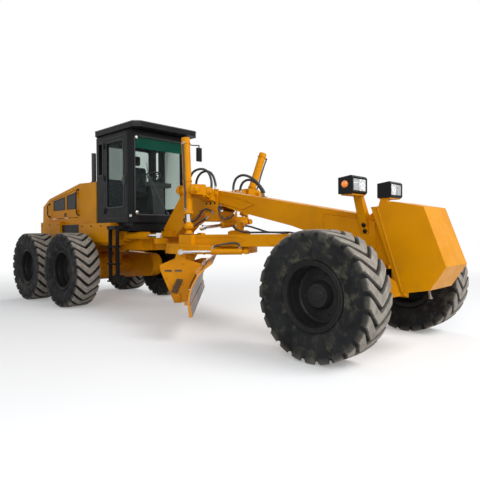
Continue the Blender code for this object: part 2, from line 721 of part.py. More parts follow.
MIRROR_PLACE = (-1.33, 1.385, 2.97)
MIRROR_SIZE = (0.06, 0.13, 0.28)
MIRROR_ARM = 0.012


def mirror():
    """One wide mirror that hangs from an arm at the left edge of the roof, above the door."""
    x, y, z = MIRROR_PLACE
    deep, wide, high = MIRROR_SIZE
    level = CAB_TOP + 0.065
    arm = pipe([(x - 0.08, ROOF_HALF + SEAT, level), (x - 0.08, y - 0.10, level), (x, y, level),
                (x, y, z)], MIRROR_ARM)
    head = block((x - deep / 2, x + deep / 2), (y - wide / 2, y + wide / 2), (z - high / 2, z + high / 2))
    add("mirror", fused([bevelled(head, 0.02), arm]), "black")


EXHAUST = (-2.42, -0.42, 2.3174)


def exhaust():
    stack = [
        (0, 0), (0, 0.07), (0.03, 0.07), (0.05, 0.045), (0.60, 0.045),
        (0.60, 0.036), (0.30, 0.036), (0.30, 0),
    ]
    add("exhaust_stack", turned(stack, 16, (EXHAUST[0], EXHAUST[1], EXHAUST[2]), UP), "cast")


# Front frame: side outline of the boom and neck, then the block behind it, as (X, Z)
BOOM_HALF = 0.17
FRAME_FOOT = 0.95
NECK_FOOT = 1.262
BOOM = (
    (-0.42, NECK_FOOT), (-0.19, NECK_FOOT), (-0.15, 1.30), (0.06, 1.45), (0.40, 1.62), (0.845, 1.77),
    (1.325, 1.63),
    (2.285, 1.41), (2.905, 1.22), (3.02, 1.10), (3.10, FRAME_FOOT), (3.775, FRAME_FOOT), (3.576, 1.60),
    (3.545, 1.615), (3.415, 1.507), (0.165, 2.105), (-0.025, 1.94), (-0.50, 1.40), (-0.46, 1.33),
)
NECK_BACK = -0.46
NECK_BLOCK = (
    (NECK_BACK, 1.36), (NECK_BACK, 1.135), (-0.40, 1.135),
    (-0.39, NECK_FOOT), (-0.18, NECK_FOOT), (-0.18, 1.36),
)
NECK_HALF = 0.25
FLANGE = ((3.776, 0.95), (3.866, 0.655), (3.836, 0.655), (3.50, 1.60), (3.576, 1.60))
ART_REAR_EYE = (-1.235, 0.45, 1.29)
ART_FRONT_EYE = (-0.255, 0.45, 1.29)
CYLINDER = 0.064
SWING_BARREL = 0.048
SWING_EYE = (-1.65, -0.49, 1.40)
ROD = 0.030


def front_frame():
    boom = plate(BOOM, "Y", -BOOM_HALF, BOOM_HALF)
    neck = plate(NECK_BLOCK, "Y", -NECK_HALF, NECK_HALF)
    tongue = arc((ARTICULATION_X, 0), 0.10, 90, 270, 8)
    tongue = [(NECK_BACK + 0.02, 0.18)] + tongue + [(NECK_BACK + 0.02, -0.18)]
    forms = [boom, neck, plate(tongue, "Z", *TONGUE)]
    forms.append(plate(FLANGE, "Y", -0.295, 0.295))
    doubler = [
        (0.42, 1.66), (0.845, 1.80), (1.40, 1.66), (1.62, 1.72),
        (1.40, 1.80), (0.60, 1.98), (0.30, 1.90),
    ]
    forms.append(plate(doubler, "Y", -BOOM_HALF - 0.012, BOOM_HALF + 0.012))
    nose = [(2.80, 1.28), (3.10, 1.12), (3.50, 1.12), (3.50, 1.45), (2.80, 1.55)]
    forms.append(plate(nose, "Y", -BOOM_HALF - 0.012, BOOM_HALF + 0.012))
    forms.append(plate([(2.72, 1.27), (2.72, 0.96), (3.12, 0.96), (3.20, 1.30)], "Y", -0.11, 0.11))
    for low, high in BALL_EARS:
        ear = arc((BALL_X, 0), BALL_RADIUS, 90, 270, 8)
        ear = [(BALL_X + 0.14, BALL_RADIUS)] + ear + [(BALL_X + 0.14, -BALL_RADIUS)]
        forms.append(plate(ear, "Z", low, high))
    x, y, z = ART_FRONT_EYE
    wing = [
        (NECK_BACK + 0.005, NECK_HALF - 0.02), (x - 0.015, NECK_HALF - 0.02), (x + 0.06, y - 0.11),
        (x + 0.06, y + 0.06), (x - 0.05, y + 0.06), (x - 0.05, y - 0.07),
        (NECK_BACK + 0.005, NECK_HALF + 0.05),
    ]
    eye = plate(wing, "Z", z - 0.139, z - 1.36 * ROD - EYE_GAP)
    forms += both_sides([eye, *lamp_bracket()])
    add("front_frame", fused(forms), "yellow", "articulation")


LAMP = (3.365, 0.45, 1.84)
LAMP_HALF = (0.09, 0.16, 0.10)


def lamp_bracket():
    """A shelf under a head lamp, on an arm that slants down to the boom's side."""
    x, y, z = LAMP
    floor = z - LAMP_HALF[2] - SEAT
    shelf = block((x - 0.07, x + 0.07), (y - 0.15, y + 0.13), (floor - 0.014, floor))
    arm = plate(
        [(0.15, 1.30), (0.19, 1.30), (0.36, floor - 0.005), (0.30, floor - 0.005), (0.15, 1.48)],
        "X", x - 0.05, x + 0.05,
    )
    return [shelf, arm]


def head_lamps():
    x, y, z = LAMP
    for name, sign in SIDES.items():
        low, high = sorted((sign * (y - LAMP_HALF[1]), sign * (y + LAMP_HALF[1])))
        outline = [
            (x - 0.09, z - 0.10), (x + 0.07, z - 0.10), (x + 0.09, z - 0.08),
            (x + 0.09, z + 0.08), (x + 0.07, z + 0.10), (x - 0.09, z + 0.08),
        ]
        face = block((x + 0.075, x + 0.2), (low + 0.02, high - 0.02), (z - 0.075, z + 0.075))
        lamp = fused([plate(outline, "Y", low, high)], [face])
        add("head_lamp_" + name, lamp, "black", "articulation")


WEIGHT = (
    (3.5764, 1.6003), (3.745, 1.65), (4.10, 1.58), (4.33, 0.96), (4.165, 0.71), (3.8664, 0.655),
)
WEIGHT_HALF = 0.305


def counterweight():
    add("front_counterweight", plate(WEIGHT, "Y", -WEIGHT_HALF, WEIGHT_HALF), "yellow", "articulation")


# Lift saddle, around the boom's sides and bottom
SADDLE_X = (0.62, 0.91)
PRONG_GAP = 0.120
PRONG = 0.045
SADDLE_FLOOR = 1.655


def lift_saddle():
    inner = BOOM_HALF + 0.012 + SEAT
    outer = inner + 0.035
    front, back = SADDLE_X[1], SADDLE_X[0]
    u_form = [
        (-outer, 1.99), (-outer, 1.50), (outer, 1.50), (outer, 1.99), (inner, 1.99),
        (inner, SADDLE_FLOOR), (-inner, SADDLE_FLOOR), (-inner, 1.99),
    ]
    ex, ey, ez = SWING_EAR
    bar = block((front - 0.05, front + 0.02), (0.0, ey + 0.06), (ez, ez + 0.08))
    ear_end = ex - SWING_BARREL * 0.9 - PIN_GAP
    ear = block((front - 0.01, ear_end), (ey - 0.05, ey + 0.05), (ez - 0.045, ez + 0.045))
    x, y, z = TRUNNION
    arm = plate([(outer - 0.01, 1.80), (0.50, 1.87), (0.50, 2.03), (outer - 0.01, 1.98)],
                "X", back + 0.04, front - 0.04)
    reach = PRONG_GAP + PRONG
    cross = block((x - reach, x + reach), (0.465, 0.53), (z - 0.08, z + 0.08))
    forms = [plate(u_form, "X", back, front), bar, ear]
    side = [arm, cross]
    for sign in (-1, 1):
        low, high = sorted((x + sign * PRONG_GAP, x + sign * reach))
        tip = arc((y, z), 0.075, -90, 90, 6)
        side.append(plate([(0.52, z - 0.075)] + tip + [(0.52, z + 0.075)], "X", low, high))
        start = (x + sign * (reach - 0.005), y, z)
        side.append(turned([(0, 0), (0, 0.06), (0.05, 0.035), (0.05, 0)], 12, start, (sign, 0, 0)))
    forms += both_sides(side)
    add("lift_saddle", fused(forms), "yellow", "articulation")


def cylinder_pair(name, on, foot, eye, sizes, frame=None, trunnion=None, across=UP):
    """A barrel from its foot towards the rod's eye, and the rod that slides in it.

    sizes: barrel radius, rod radius, barrel's start and mouth along the line, stroke inwards.
    With a trunnion, given as its centre and half width, the barrel has no eye at its foot.
    """
    barrel_radius, rod_radius, start, mouth, stroke = sizes
    foot = Vector(foot)
    run = Vector(eye) - foot
    reach = run.length
    line = run.normalized()
    bore = rod_radius + PIN_GAP
    floor = start + 0.03
    forms = [turned([(start, 0), (start, barrel_radius), (mouth, barrel_radius), (mouth, 0)], 16, foot, line)]
    if trunnion:
        centre = Vector(trunnion[0])
        collar = barrel_radius + 0.012
        forms.append(turned([(-0.05, 0), (-0.05, collar), (0.05, collar), (0.05, 0)], 16, centre, line))
        forms.append(rod_between(centre - FORWARD * trunnion[1], centre + FORWARD * trunnion[1], 0.036))
    else:
        half = across * barrel_radius * 0.9
        forms.append(rod_between(foot - half, foot + half, barrel_radius * 0.9))
        forms.append(rod_between(foot, foot + line * (start + 0.01), barrel_radius * 0.6))
    hollow = turned([(floor, 0), (floor, bore), (mouth + 0.1, bore), (mouth + 0.1, 0)], 16, foot, line)
    add(name + "_barrel", fused(forms, [hollow]), "yellow", on, frame)
    head = rod_radius * 1.7
    half = across * head * 0.8
    inner = floor + stroke + 0.01
    rod = rod_between(foot + line * inner, foot + line * (reach - head * 0.4), rod_radius, 16)
    ball = rod_between(foot + line * reach - half, foot + line * reach + half, head)
    add(name + "_rod", fused([rod, ball]), "chrome", on, frame)


LIFT_TOP = 0.77
LIFT_MOUTH = 1.13
LIFT_STROKE_UP = 0.10


def lift_line(sign):
    """The rod's eye above its stud, and the barrel's top end beyond the trunnion."""
    stud = drawbar_frame() @ Vector((STUD[0], sign * STUD[1], 0))
    eye = Vector((stud.x, stud.y, LIFT_EYE_Z))
    centre = Vector((TRUNNION[0], sign * TRUNNION[1], TRUNNION[2]))
    return centre, centre + (centre - eye).normalized() * LIFT_TOP, eye


def stud_top(sign):
    """Height of a drawbar stud: just under the lowest point that the rod's eye swings through."""
    centre, _, eye = lift_line(sign)
    return centre.z - (centre - eye).length - 1.36 * ROD - EYE_GAP


def lift_cylinders():
    for name, sign in SIDES.items():
        centre, top, eye = lift_line(sign)
        sizes = (CYLINDER, ROD, 0.0, LIFT_MOUTH, LIFT_STROKE_UP)
        cylinder_pair("lift_cylinder_" + name, "lift_swing_" + name, top, eye, sizes,
                      trunnion=(centre, PRONG_GAP - PIN_GAP))


def articulation_cylinders():
    for name, sign in SIDES.items():
        foot = (ART_REAR_EYE[0], sign * ART_REAR_EYE[1], ART_REAR_EYE[2])
        eye = (ART_FRONT_EYE[0], sign * ART_FRONT_EYE[1], ART_FRONT_EYE[2])
        sizes = (CYLINDER, ROD, 0.09, 0.68, 0.23)
        cylinder_pair("articulation_cylinder_" + name, "steer_cylinder_" + name, foot, eye, sizes)


def swing_cylinder():
    eye = drawbar_frame() @ Vector(SWING_EYE)
    sizes = (SWING_BARREL, 0.025, 0.07, 0.61, 0.335)
    cylinder_pair("swing_cylinder", "swing_cylinder", SWING_EAR, eye, sizes, across=FORWARD)


# Front axle, lean yokes and steering knuckles
AXLE_HALF_X = 0.070
CHEEK = 0.040
AXLE_END = 0.050
YOKE_WALL = (KINGPIN_Y - 0.083, KINGPIN_Y - 0.056)
YOKE_Z = (TYRE_RADIUS - 0.205, TYRE_RADIUS + 0.195)
YOKE_EAR = 0.07
POST_RADIUS = 0.050


def front_axle():
    lean_y, lean_z = LEAN_PIVOT
    low_z = lean_z - AXLE_END
    half = [(0.0, low_z), (0.30, low_z), (lean_y, low_z)]
    half += arc(LEAN_PIVOT, AXLE_END, -60, 90, 5)
    half += [(lean_y - 0.21, lean_z + 0.15), (0.22, lean_z + 0.24), (0.0, lean_z + 0.24)]
    outline = half + [(-y, z) for y, z in reversed(half[1:-1])]
    x = FRONT_AXLE_X
    beam = plate(outline, "X", x - AXLE_HALF_X, x + AXLE_HALF_X)
    pillow = block((x - 0.11, x + 0.12), (-0.10, 0.10), (lean_z + 0.05, FRAME_FOOT - SEAT))
    yoke_mid = KINGPIN_Y - 0.07
    add("front_axle", fused([beam, pillow]), "yellow", "articulation")
    for name, sign in SIDES.items():
        low = AXLE_HALF_X + PIN_GAP
        forms = [block((x - 0.11, x + 0.11), YOKE_WALL, YOKE_Z)]
        for z in ((YOKE_Z[0], YOKE_Z[0] + YOKE_EAR), (YOKE_Z[1] - YOKE_EAR, YOKE_Z[1])):
            ear = arc((x, KINGPIN_Y), 0.06, 0, 180, 6)
            forms.append(plate([(x + 0.06, yoke_mid)] + ear + [(x - 0.06, yoke_mid)], "Z", *z))
        for side in (-1, 1):
            a, b = sorted((x + side * low, x + side * (low + CHEEK)))
            cheek = [(yoke_mid, lean_z - 0.07), (yoke_mid, lean_z + 0.10), (lean_y, lean_z + 0.06),
                     (lean_y - 0.045, lean_z + 0.04), (lean_y - 0.06, lean_z),
                     (lean_y - 0.045, lean_z - 0.04), (lean_y, lean_z - 0.06)]
            forms.append(plate(cheek, "X", a, b))
        arm = block((LEAN_BAR[0] + 0.0256, x - 0.09), (LEAN_BAR[1] - 0.03, yoke_mid),
                    (LEAN_BAR[2] - 0.03, LEAN_BAR[2] + 0.03))
        forms.append(arm)
        if sign < 0:
            forms = [mirrored(mesh) for mesh in forms]
        add("lean_yoke_" + name, fused(forms), "yellow", "wheel_lean_" + name)
        low_z = YOKE_Z[0] + YOKE_EAR + PIN_GAP
        high_z = YOKE_Z[1] - YOKE_EAR - PIN_GAP
        post = rod_between((x, KINGPIN_Y, low_z), (x, KINGPIN_Y, high_z), POST_RADIUS)
        hub = HALF_TRACK + WHEELS[0][3] - PIN_GAP
        spindle = rod_between((x, KINGPIN_Y, TYRE_RADIUS), (x, hub, TYRE_RADIUS), 0.060)
        forms = [post, spindle]
        if sign < 0:
            forms = [mirrored(mesh) for mesh in forms]
        add("knuckle_" + name, fused(forms), "cast", "steering_" + name)
    reach = LEAN_BAR[1]
    bar_x, _, bar_z = LEAN_BAR
    bar = rod_between((bar_x, -reach, bar_z), (bar_x, reach, bar_z), 0.020, 10)
    eyes = [rod_between((bar_x - 0.025, y, bar_z), (bar_x + 0.025, y, bar_z), 0.030) for y in (-reach, reach)]
    add("lean_bar", fused([bar, *eyes]), "cast", "lean_bar")


PRONG_Y = (0.076, 0.122)
DRAWBAR_Z = (1.1303, 1.30)
DRIVE_OUT = 0.57


def drawbar():
    frame = drawbar_frame()
    low, high = BALL_EARS[0][1] + PIN_GAP, BALL_EARS[1][0] - PIN_GAP
    core = rod_between((0, 0, low), (0, 0, high), BALL_RADIUS, 16)
    pin = rod_between((0, -PRONG_Y[0] + PIN_GAP, BALL_Z), (0, PRONG_Y[0] - PIN_GAP, BALL_Z), 0.045)
    add("drawbar_ball", fused([core, pin]), "cast", "drawbar_swing", frame)
    end = arc((0, BALL_Z), BALL_RADIUS - 0.003, -80, 80, 6)
    prong = plate([(-0.30, 1.00)] + end + [(-0.30, 1.24)], "Y", *PRONG_Y)
    nose = block((-0.62, -0.16), (-0.115, 0.115), (1.00, 1.25))
    leg = plate([(-0.20, 0.02), (-0.20, 0.12), (-1.85, 0.62), (-1.85, 0.49), (-0.58, 0.02)], "Z", *DRAWBAR_Z)
    forms = [nose, *both_sides([prong, leg])]
    for sign in SIDES.values():
        top = stud_top(sign)
        stud = [(1.20, 0), (1.20, 0.085), (top - 0.030, 0.050), (top - 0.008, 0.034), (top, 0.015), (top, 0)]
        forms.append(turned(stud, 12, (STUD[0], sign * STUD[1], 0), UP))
    forms.append(block((-1.98, -1.72), (-0.66, 0.66), DRAWBAR_Z))
    seat = CIRCLE_TOP + SEAT
    rim = CIRCLE_RADIUS - 0.01
    guide = turned([(seat, 0.56), (seat, rim), (1.16, rim), (1.16, 0.56)],
                   32, (-DRAWBAR_LENGTH, 0, 0), UP, ring=True)
    motor = [(1.14, 0), (1.14, 0.17), (1.34, 0.17), (1.36, 0.12), (1.36, 0.07), (1.47, 0.07), (1.47, 0)]
    drive = turned(motor, 16, (DRIVE_OUT - DRAWBAR_LENGTH, 0, 0), UP)
    middle = DRIVE_OUT - DRAWBAR_LENGTH
    rest = block((middle - 0.22, middle + 0.14), (-0.35, 0.35), (1.1303, 1.24))
    ex, ey, ez = SWING_EYE
    ear = turned([(1.25, 0), (1.25, 0.055), (ez - 0.0845, 0.035), (ez - 0.0745, 0.015), (ez - 0.0745, 0)],
                 12, (ex, ey, 0), UP)
    forms += [guide, drive, rest, ear]
    add("drawbar", fused(forms), "yellow", "drawbar_lift", frame)


ARM_Y = (0.56, 0.62)
BRACKET_Y = (0.775, 0.825)
SHIFT_TUBE = (-0.325, 0.635, 0.038)
SHIFT_ROD = 0.020
SHIFT_EAR_Y = 1.40
RAIL_SIZE = (0.05, 0.05)
RAIL_PLACES = (0.20, 0.74)
SHOE_GAP = 0.0008


def blade_point(share, depth=0.0):
    """A point up the blade's curved face, from the edge (0) to the top (1), and behind it by a depth."""
    chord = Vector((BLADE_LEAN, BLADE_TOP_Z - CUTTING_EDGE_Z))
    half = chord.length / 2
    radius = (half * half + BLADE_SAGITTA * BLADE_SAGITTA) / (2 * BLADE_SAGITTA)
    up = chord.normalized()
    front = Vector((up.y, -up.x))
    middle = Vector((BLADE_BACK, CUTTING_EDGE_Z)) + up * half + front * (radius - BLADE_SAGITTA)
    sweep = math.asin(half / radius)
    angle = (2 * share - 1) * sweep
    return middle + up * (radius + depth) * math.sin(angle) - front * (radius + depth) * math.cos(angle)


def rail_box(share, extra=0.0):
    """X and Z of a slide rail on the blade's back."""
    back = blade_point(share, BLADE_THICKNESS)
    half = RAIL_SIZE[1] / 2 + extra
    return back.x - RAIL_SIZE[0] - extra, back.x + 0.012, back.y - half, back.y + half


def circle():
    frame = circle_frame()
    inner = CIRCLE_RADIUS - CIRCLE_WALL
    ring = turned([(CIRCLE_BOTTOM, inner), (CIRCLE_BOTTOM, CIRCLE_RADIUS), (CIRCLE_TOP, CIRCLE_RADIUS),
                   (CIRCLE_TOP, inner)], 40, (0, 0, 0), UP, ring=True)
    px, pz = PITCH_PIVOT
    arm = plate([(-0.42, 1.06), (-0.20, 1.06), (-0.30, 0.90), (px + 0.065, 0.62), (px + 0.065, pz - 0.03),
                 (px + 0.03, pz - 0.06), (px - 0.03, pz - 0.06), (px - 0.065, pz), (px - 0.065, 0.62),
                 (-0.47, 0.88)], "Y", *ARM_Y)
    boss = rod_between((px, ARM_Y[0] + 0.01, pz), (px, BRACKET_Y[0] - PIN_GAP, pz), 0.045)
    ex, ey, ez = PITCH_EAR
    ear = block((ex - 0.026, ex + 0.05), (ey + 0.042 * 0.9 + PIN_GAP, -0.43),
                (CIRCLE_BOTTOM + 0.005, CIRCLE_TOP - 0.006))
    add("circle", fused([ring, *both_sides([arm, boss]), ear]), "yellow", "circle_turn", frame)


def pitch_bracket():
    frame = circle_frame()
    low = rail_box(RAIL_PLACES[0], SHOE_GAP)
    high = rail_box(RAIL_PLACES[1], SHOE_GAP)
    px, pz = PITCH_PIVOT
    horn = 0.030
    front = [
        (px - 0.07, pz), (px - 0.04, pz - 0.07), (px + 0.05, pz - 0.07), (low[0] + horn, low[2] - 0.035),
        (low[0] + horn, low[2]), (low[0], low[2]), (low[0], low[3]), (low[0] + horn, low[3]),
        (low[0] + horn, low[3] + 0.03), (low[0] - 0.02, low[3] + 0.05), (high[0] - 0.04, high[2] - 0.04),
        (high[0] + 0.010, high[2]), (high[0], high[2]),
        (high[0], high[3]), (high[0] + horn, high[3]), (high[0] + horn, high[3] + 0.03),
    ]
    plain = front + [(high[0] - 0.05, high[3] + 0.03), (-0.52, 0.80), (-0.54, 0.60)]
    eye_x, _, eye_z = PITCH_EYE
    tall = front + [(eye_x + 0.06, 0.96), (eye_x + 0.045, eye_z + 0.03), (eye_x, eye_z + 0.05),
                    (eye_x - 0.045, eye_z + 0.03), (eye_x - 0.09, 0.97), (-0.70, 0.88), (-0.69, 0.80)]
    tube_x, tube_z, radius = SHIFT_TUBE
    forms = [
        plate(plain, "Y", *BRACKET_Y), plate(tall, "Y", -BRACKET_Y[1], -BRACKET_Y[0]),
        rod_between((tube_x, -0.79, tube_z), (tube_x, 0.86, tube_z), radius, 16),
    ]
    for sign in (-1, 1):
        web = block((tube_x - 0.06, tube_x + 0.02), tuple(sorted((sign * 0.78, sign * 0.82))), (0.60, 0.67))
        forms.append(web)
    bore = SHIFT_ROD + PIN_GAP
    hollow = rod_between((tube_x, -0.70, tube_z), (tube_x, 1.0, tube_z), bore, 16)
    add("tilt_bracket", fused(forms, [hollow]), "yellow", "blade_pitch", frame)


def moldboard():
    frame = circle_frame()
    steps = 8
    half = BLADE_LENGTH / 2
    ends = (-half + BLADE_SHIFT, half + BLADE_SHIFT)
    face = [blade_point(k / steps) for k in range(steps + 1)]
    back = [blade_point(k / steps, BLADE_THICKNESS) for k in range(steps + 1)]
    forms = [plate([*face, *reversed(back)], "Y", *ends)]
    edge = [blade_point(-0.012, -0.016), blade_point(0.08, -0.016), blade_point(0.18, -0.016),
            blade_point(0.18, 0.01), blade_point(0.08, 0.01), blade_point(-0.012, 0.01)]
    forms.append(plate(edge, "Y", ends[0] + 0.004, ends[1] - 0.004))
    for share in RAIL_PLACES:
        x0, x1, z0, z1 = rail_box(share)
        forms.append(block((x0, x1), (ends[0] + 0.12, ends[1] - 0.12), (z0, z1)))
    tube_x, tube_z, _ = SHIFT_TUBE
    ear_y = (SHIFT_EAR_Y, SHIFT_EAR_Y + 0.05)
    forms.append(block((tube_x - 0.035, -0.19), ear_y, (tube_z - 0.04, tube_z + 0.04)))
    add("moldboard", fused(forms), "yellow", "blade_pitch", frame)
    rod = rod_between((tube_x, -0.10, tube_z), (tube_x, SHIFT_EAR_Y - SEAT, tube_z), SHIFT_ROD, 16)
    add("side_shift_rod", rod, "chrome", "blade_pitch", frame)


def pitch_cylinder():
    sizes = (0.042, 0.022, 0.05, 0.485, 0.365)
    frame = circle_frame()
    cylinder_pair("pitch_cylinder", "pitch_cylinder", PITCH_EAR, PITCH_EYE, sizes, frame, across=LEFT)


def build():
    clear_scene()
    set_pivots()
    rear_frame()
    tandem_axle()
    hood()
    cab()
    operator_station()
    mirror()
    exhaust()
    front_frame()
    head_lamps()
    counterweight()
    lift_saddle()
    lift_cylinders()
    articulation_cylinders()
    front_axle()
    drawbar()
    circle()
    pitch_bracket()
    moldboard()
    pitch_cylinder()
    swing_cylinder()
    wheels()


build()
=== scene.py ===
import math
import random

import bmesh
import bpy
from mathutils import Matrix, Vector


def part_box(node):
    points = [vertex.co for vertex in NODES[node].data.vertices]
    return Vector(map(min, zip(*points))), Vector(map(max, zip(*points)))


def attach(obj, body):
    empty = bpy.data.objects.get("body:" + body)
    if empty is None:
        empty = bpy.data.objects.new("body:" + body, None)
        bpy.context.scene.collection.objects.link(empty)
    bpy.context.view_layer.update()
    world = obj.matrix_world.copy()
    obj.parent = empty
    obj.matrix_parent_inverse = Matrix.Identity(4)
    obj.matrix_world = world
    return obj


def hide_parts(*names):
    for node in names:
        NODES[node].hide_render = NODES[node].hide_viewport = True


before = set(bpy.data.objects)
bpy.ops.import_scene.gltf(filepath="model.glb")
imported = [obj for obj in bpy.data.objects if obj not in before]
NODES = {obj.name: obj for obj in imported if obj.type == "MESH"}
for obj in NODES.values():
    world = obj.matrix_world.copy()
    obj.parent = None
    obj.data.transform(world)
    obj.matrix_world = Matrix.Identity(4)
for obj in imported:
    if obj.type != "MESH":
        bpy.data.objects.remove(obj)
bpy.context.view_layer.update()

random.seed(7)
UP = Vector((0, 0, 1))
SIDES = {"right": -1.0, "left": 1.0}


# ---- small shader helpers ----
class Shader:
    """A material's node tree, with short ways to add nodes and link them."""

    def __init__(self, name):
        self.material = bpy.data.materials.new(name)
        self.material.use_nodes = True
        self.tree = self.material.node_tree
        self.main = self.tree.nodes["Principled BSDF"]

    def node(self, kind, **settings):
        made = self.tree.nodes.new("ShaderNode" + kind)
        for key, value in settings.items():
            setattr(made, key, value)
        return made

    def feed(self, socket, value):
        if isinstance(value, bpy.types.NodeSocket):
            self.tree.links.new(value, socket)
        elif hasattr(socket.default_value, "__len__") and len(socket.default_value) == 4 and len(value) == 3:
            socket.default_value = (*value, 1.0)
        else:
            socket.default_value = value

    def set(self, **inputs):
        for key, value in inputs.items():
            self.feed(self.main.inputs[key.replace("_", " ")], value)

    def coords(self, scale=(1, 1, 1), turn=(0, 0, 0)):
        where = self.node("TexCoord")
        moved = self.node("Mapping")
        self.feed(moved.inputs["Vector"], where.outputs["Object"])
        moved.inputs["Scale"].default_value = scale
        moved.inputs["Rotation"].default_value = turn
        return moved.outputs["Vector"]

    def noise(self, scale, detail=3.0, rough=0.55, stretch=(1, 1, 1)):
        made = self.node("TexNoise")
        self.feed(made.inputs["Vector"], self.coords(stretch))
        made.inputs["Scale"].default_value = scale
        made.inputs["Detail"].default_value = detail
        made.inputs["Roughness"].default_value = rough
        return made.outputs["Fac"]

    def ramp(self, value, low, high, low_to=0.0, high_to=1.0):
        made = self.node("MapRange")
        made.clamp = True
        self.feed(made.inputs["Value"], value)
        for key, number in (("From Min", low), ("From Max", high), ("To Min", low_to), ("To Max", high_to)):
            made.inputs[key].default_value = number
        return made.outputs["Result"]

    def maths(self, action, a, b=0.0):
        made = self.node("Math", operation=action)
        self.feed(made.inputs[0], a)
        self.feed(made.inputs[1], b)
        return made.outputs[0]

    def blend(self, share, a, b):
        made = self.node("Mix", data_type="RGBA")
        self.feed(made.inputs["Factor"], share)
        self.feed(made.inputs["A"], a)
        self.feed(made.inputs["B"], b)
        return made.outputs["Result"]

    def height(self):
        """How high a point stands above the ground."""
        split = self.node("SeparateXYZ")
        self.feed(split.inputs[0], self.node("TexCoord").outputs["Object"])
        return split.outputs["Z"]

    def soft_edges(self, radius=0.006):
        """The normal with rounded edges, and a mask that is 1 on worn edges."""
        bevel = self.node("Bevel", samples=4)
        bevel.inputs["Radius"].default_value = radius
        dot = self.node("VectorMath", operation="DOT_PRODUCT")
        self.feed(dot.inputs[0], bevel.outputs["Normal"])
        self.feed(dot.inputs[1], self.node("NewGeometry").outputs["Normal"])
        return bevel.outputs["Normal"], self.ramp(dot.outputs["Value"], 0.995, 0.86)

    def bump(self, value, strength, distance=0.002, normal=None):
        made = self.node("Bump")
        made.inputs["Strength"].default_value = strength
        made.inputs["Distance"].default_value = distance
        self.feed(made.inputs["Height"], value)
        if normal:
            self.feed(made.inputs["Normal"], normal)
        return made.outputs["Normal"]


def painted(name, colour, deep, dust, wear_colour, rough=0.42, wear=0.75, grime=1.0, gloss=0.35):
    """Sprayed paint: uneven colour, dust low down, streaks of dirt and bare worn edges."""
    s = Shader(name)
    normal, edge = s.soft_edges()
    base = s.blend(s.ramp(s.noise(1.3, 4), 0.35, 0.68), colour, deep)
    streak = s.ramp(s.noise(1.6, 5, 0.6, stretch=(2, 2, 0.6)), 0.55, 0.80, 0.0, 0.30 * grime)
    base = s.blend(streak, base, dust)
    low = s.maths("MULTIPLY", s.ramp(s.height(), 1.3, 0.2),
                  s.ramp(s.noise(5, 6, 0.65), 0.38, 0.72, 0.05, 0.6 * grime))
    base = s.blend(low, base, dust)
    chips = s.maths("MULTIPLY", edge, s.ramp(s.noise(24, 5, 0.7), 0.50, 0.62, 0.0, wear))
    base = s.blend(chips, base, wear_colour)
    roughness = s.ramp(s.noise(9, 5, 0.6), 0.3, 0.75, rough - 0.08, rough + 0.18)
    s.set(Base_Color=base, Roughness=roughness, Specular_IOR_Level=gloss)
    s.set(Coat_Weight=gloss * 0.5, Coat_Roughness=0.15)
    s.set(Normal=s.bump(s.noise(160, 2), 0.05, 0.001, s.bump(s.noise(2.2, 3), 0.10, 0.02, normal)))
    return s.material


def yellow_paint():
    return painted("yellow_paint", (0.64, 0.256, 0.0005), (0.53, 0.196, 0.0005), (0.26, 0.135, 0.02),
                   (0.09, 0.06, 0.03), rough=0.36, gloss=0.07)


def black_paint():
    return painted("black_paint", (0.007, 0.0075, 0.0085), (0.012, 0.0125, 0.0135), (0.045, 0.040, 0.034),
                   (0.08, 0.08, 0.08), rough=0.36, wear=0.35, grime=0.45, gloss=0.09)


def rim_paint():
    return painted("rim_paint", (0.010, 0.010, 0.011), (0.018, 0.018, 0.018), (0.045, 0.038, 0.030),
                   (0.10, 0.09, 0.08), rough=0.38, wear=0.45, grime=0.35, gloss=0.08)


def cast_iron():
    return painted("cast_iron", (0.050, 0.047, 0.044), (0.030, 0.028, 0.027), (0.12, 0.09, 0.06),
                   (0.18, 0.17, 0.16), rough=0.6, wear=0.5)


def rubber():
    """Near black rubber. The lugs' worn faces are grey brown, and dried mud clings to the sidewall."""
    s = Shader("tyre_rubber")
    mask = s.node("Attribute", attribute_name="worn")
    side = s.blend(s.ramp(s.noise(3.5, 5, 0.6), 0.4, 0.7), (0.0085, 0.0088, 0.0095), (0.020, 0.0205, 0.021))
    mud = s.maths("MULTIPLY", s.ramp(s.noise(7.5, 7, 0.68), 0.50, 0.70, 0.0, 0.85),
                  s.ramp(s.noise(2.1, 3), 0.42, 0.60))
    side = s.blend(mud, side, (0.105, 0.098, 0.070))
    worn = s.blend(s.ramp(s.noise(16, 6, 0.65), 0.35, 0.7), (0.19, 0.170, 0.145), (0.34, 0.31, 0.27))
    share = s.maths("MULTIPLY", mask.outputs["Fac"], s.ramp(s.noise(11, 4), 0.2, 0.55, 0.75, 1.0))
    s.set(Base_Color=s.blend(share, side, worn), Roughness=s.ramp(s.noise(12, 4), 0.3, 0.7, 0.50, 0.80))
    s.set(Specular_IOR_Level=0.10, Normal=s.bump(s.noise(70, 5, 0.7), 0.35, 0.003))
    return s.material


def bare_steel():
    """Worn steel with fine scratches."""
    s = Shader("worn_steel")
    normal, edge = s.soft_edges(0.003)
    scratch = s.noise(30, 6, 0.7, stretch=(0.4, 6, 6))
    base = s.blend(s.ramp(s.noise(4, 6, 0.65), 0.35, 0.7), (0.36, 0.34, 0.32), (0.20, 0.175, 0.155))
    base = s.blend(s.ramp(scratch, 0.5, 0.75, 0.0, 0.5), base, (0.46, 0.45, 0.44))
    s.set(Base_Color=base, Metallic=0.75, Roughness=s.ramp(scratch, 0.3, 0.7, 0.42, 0.64))
    s.set(Normal=s.bump(scratch, 0.15, 0.002, normal))
    return s.material


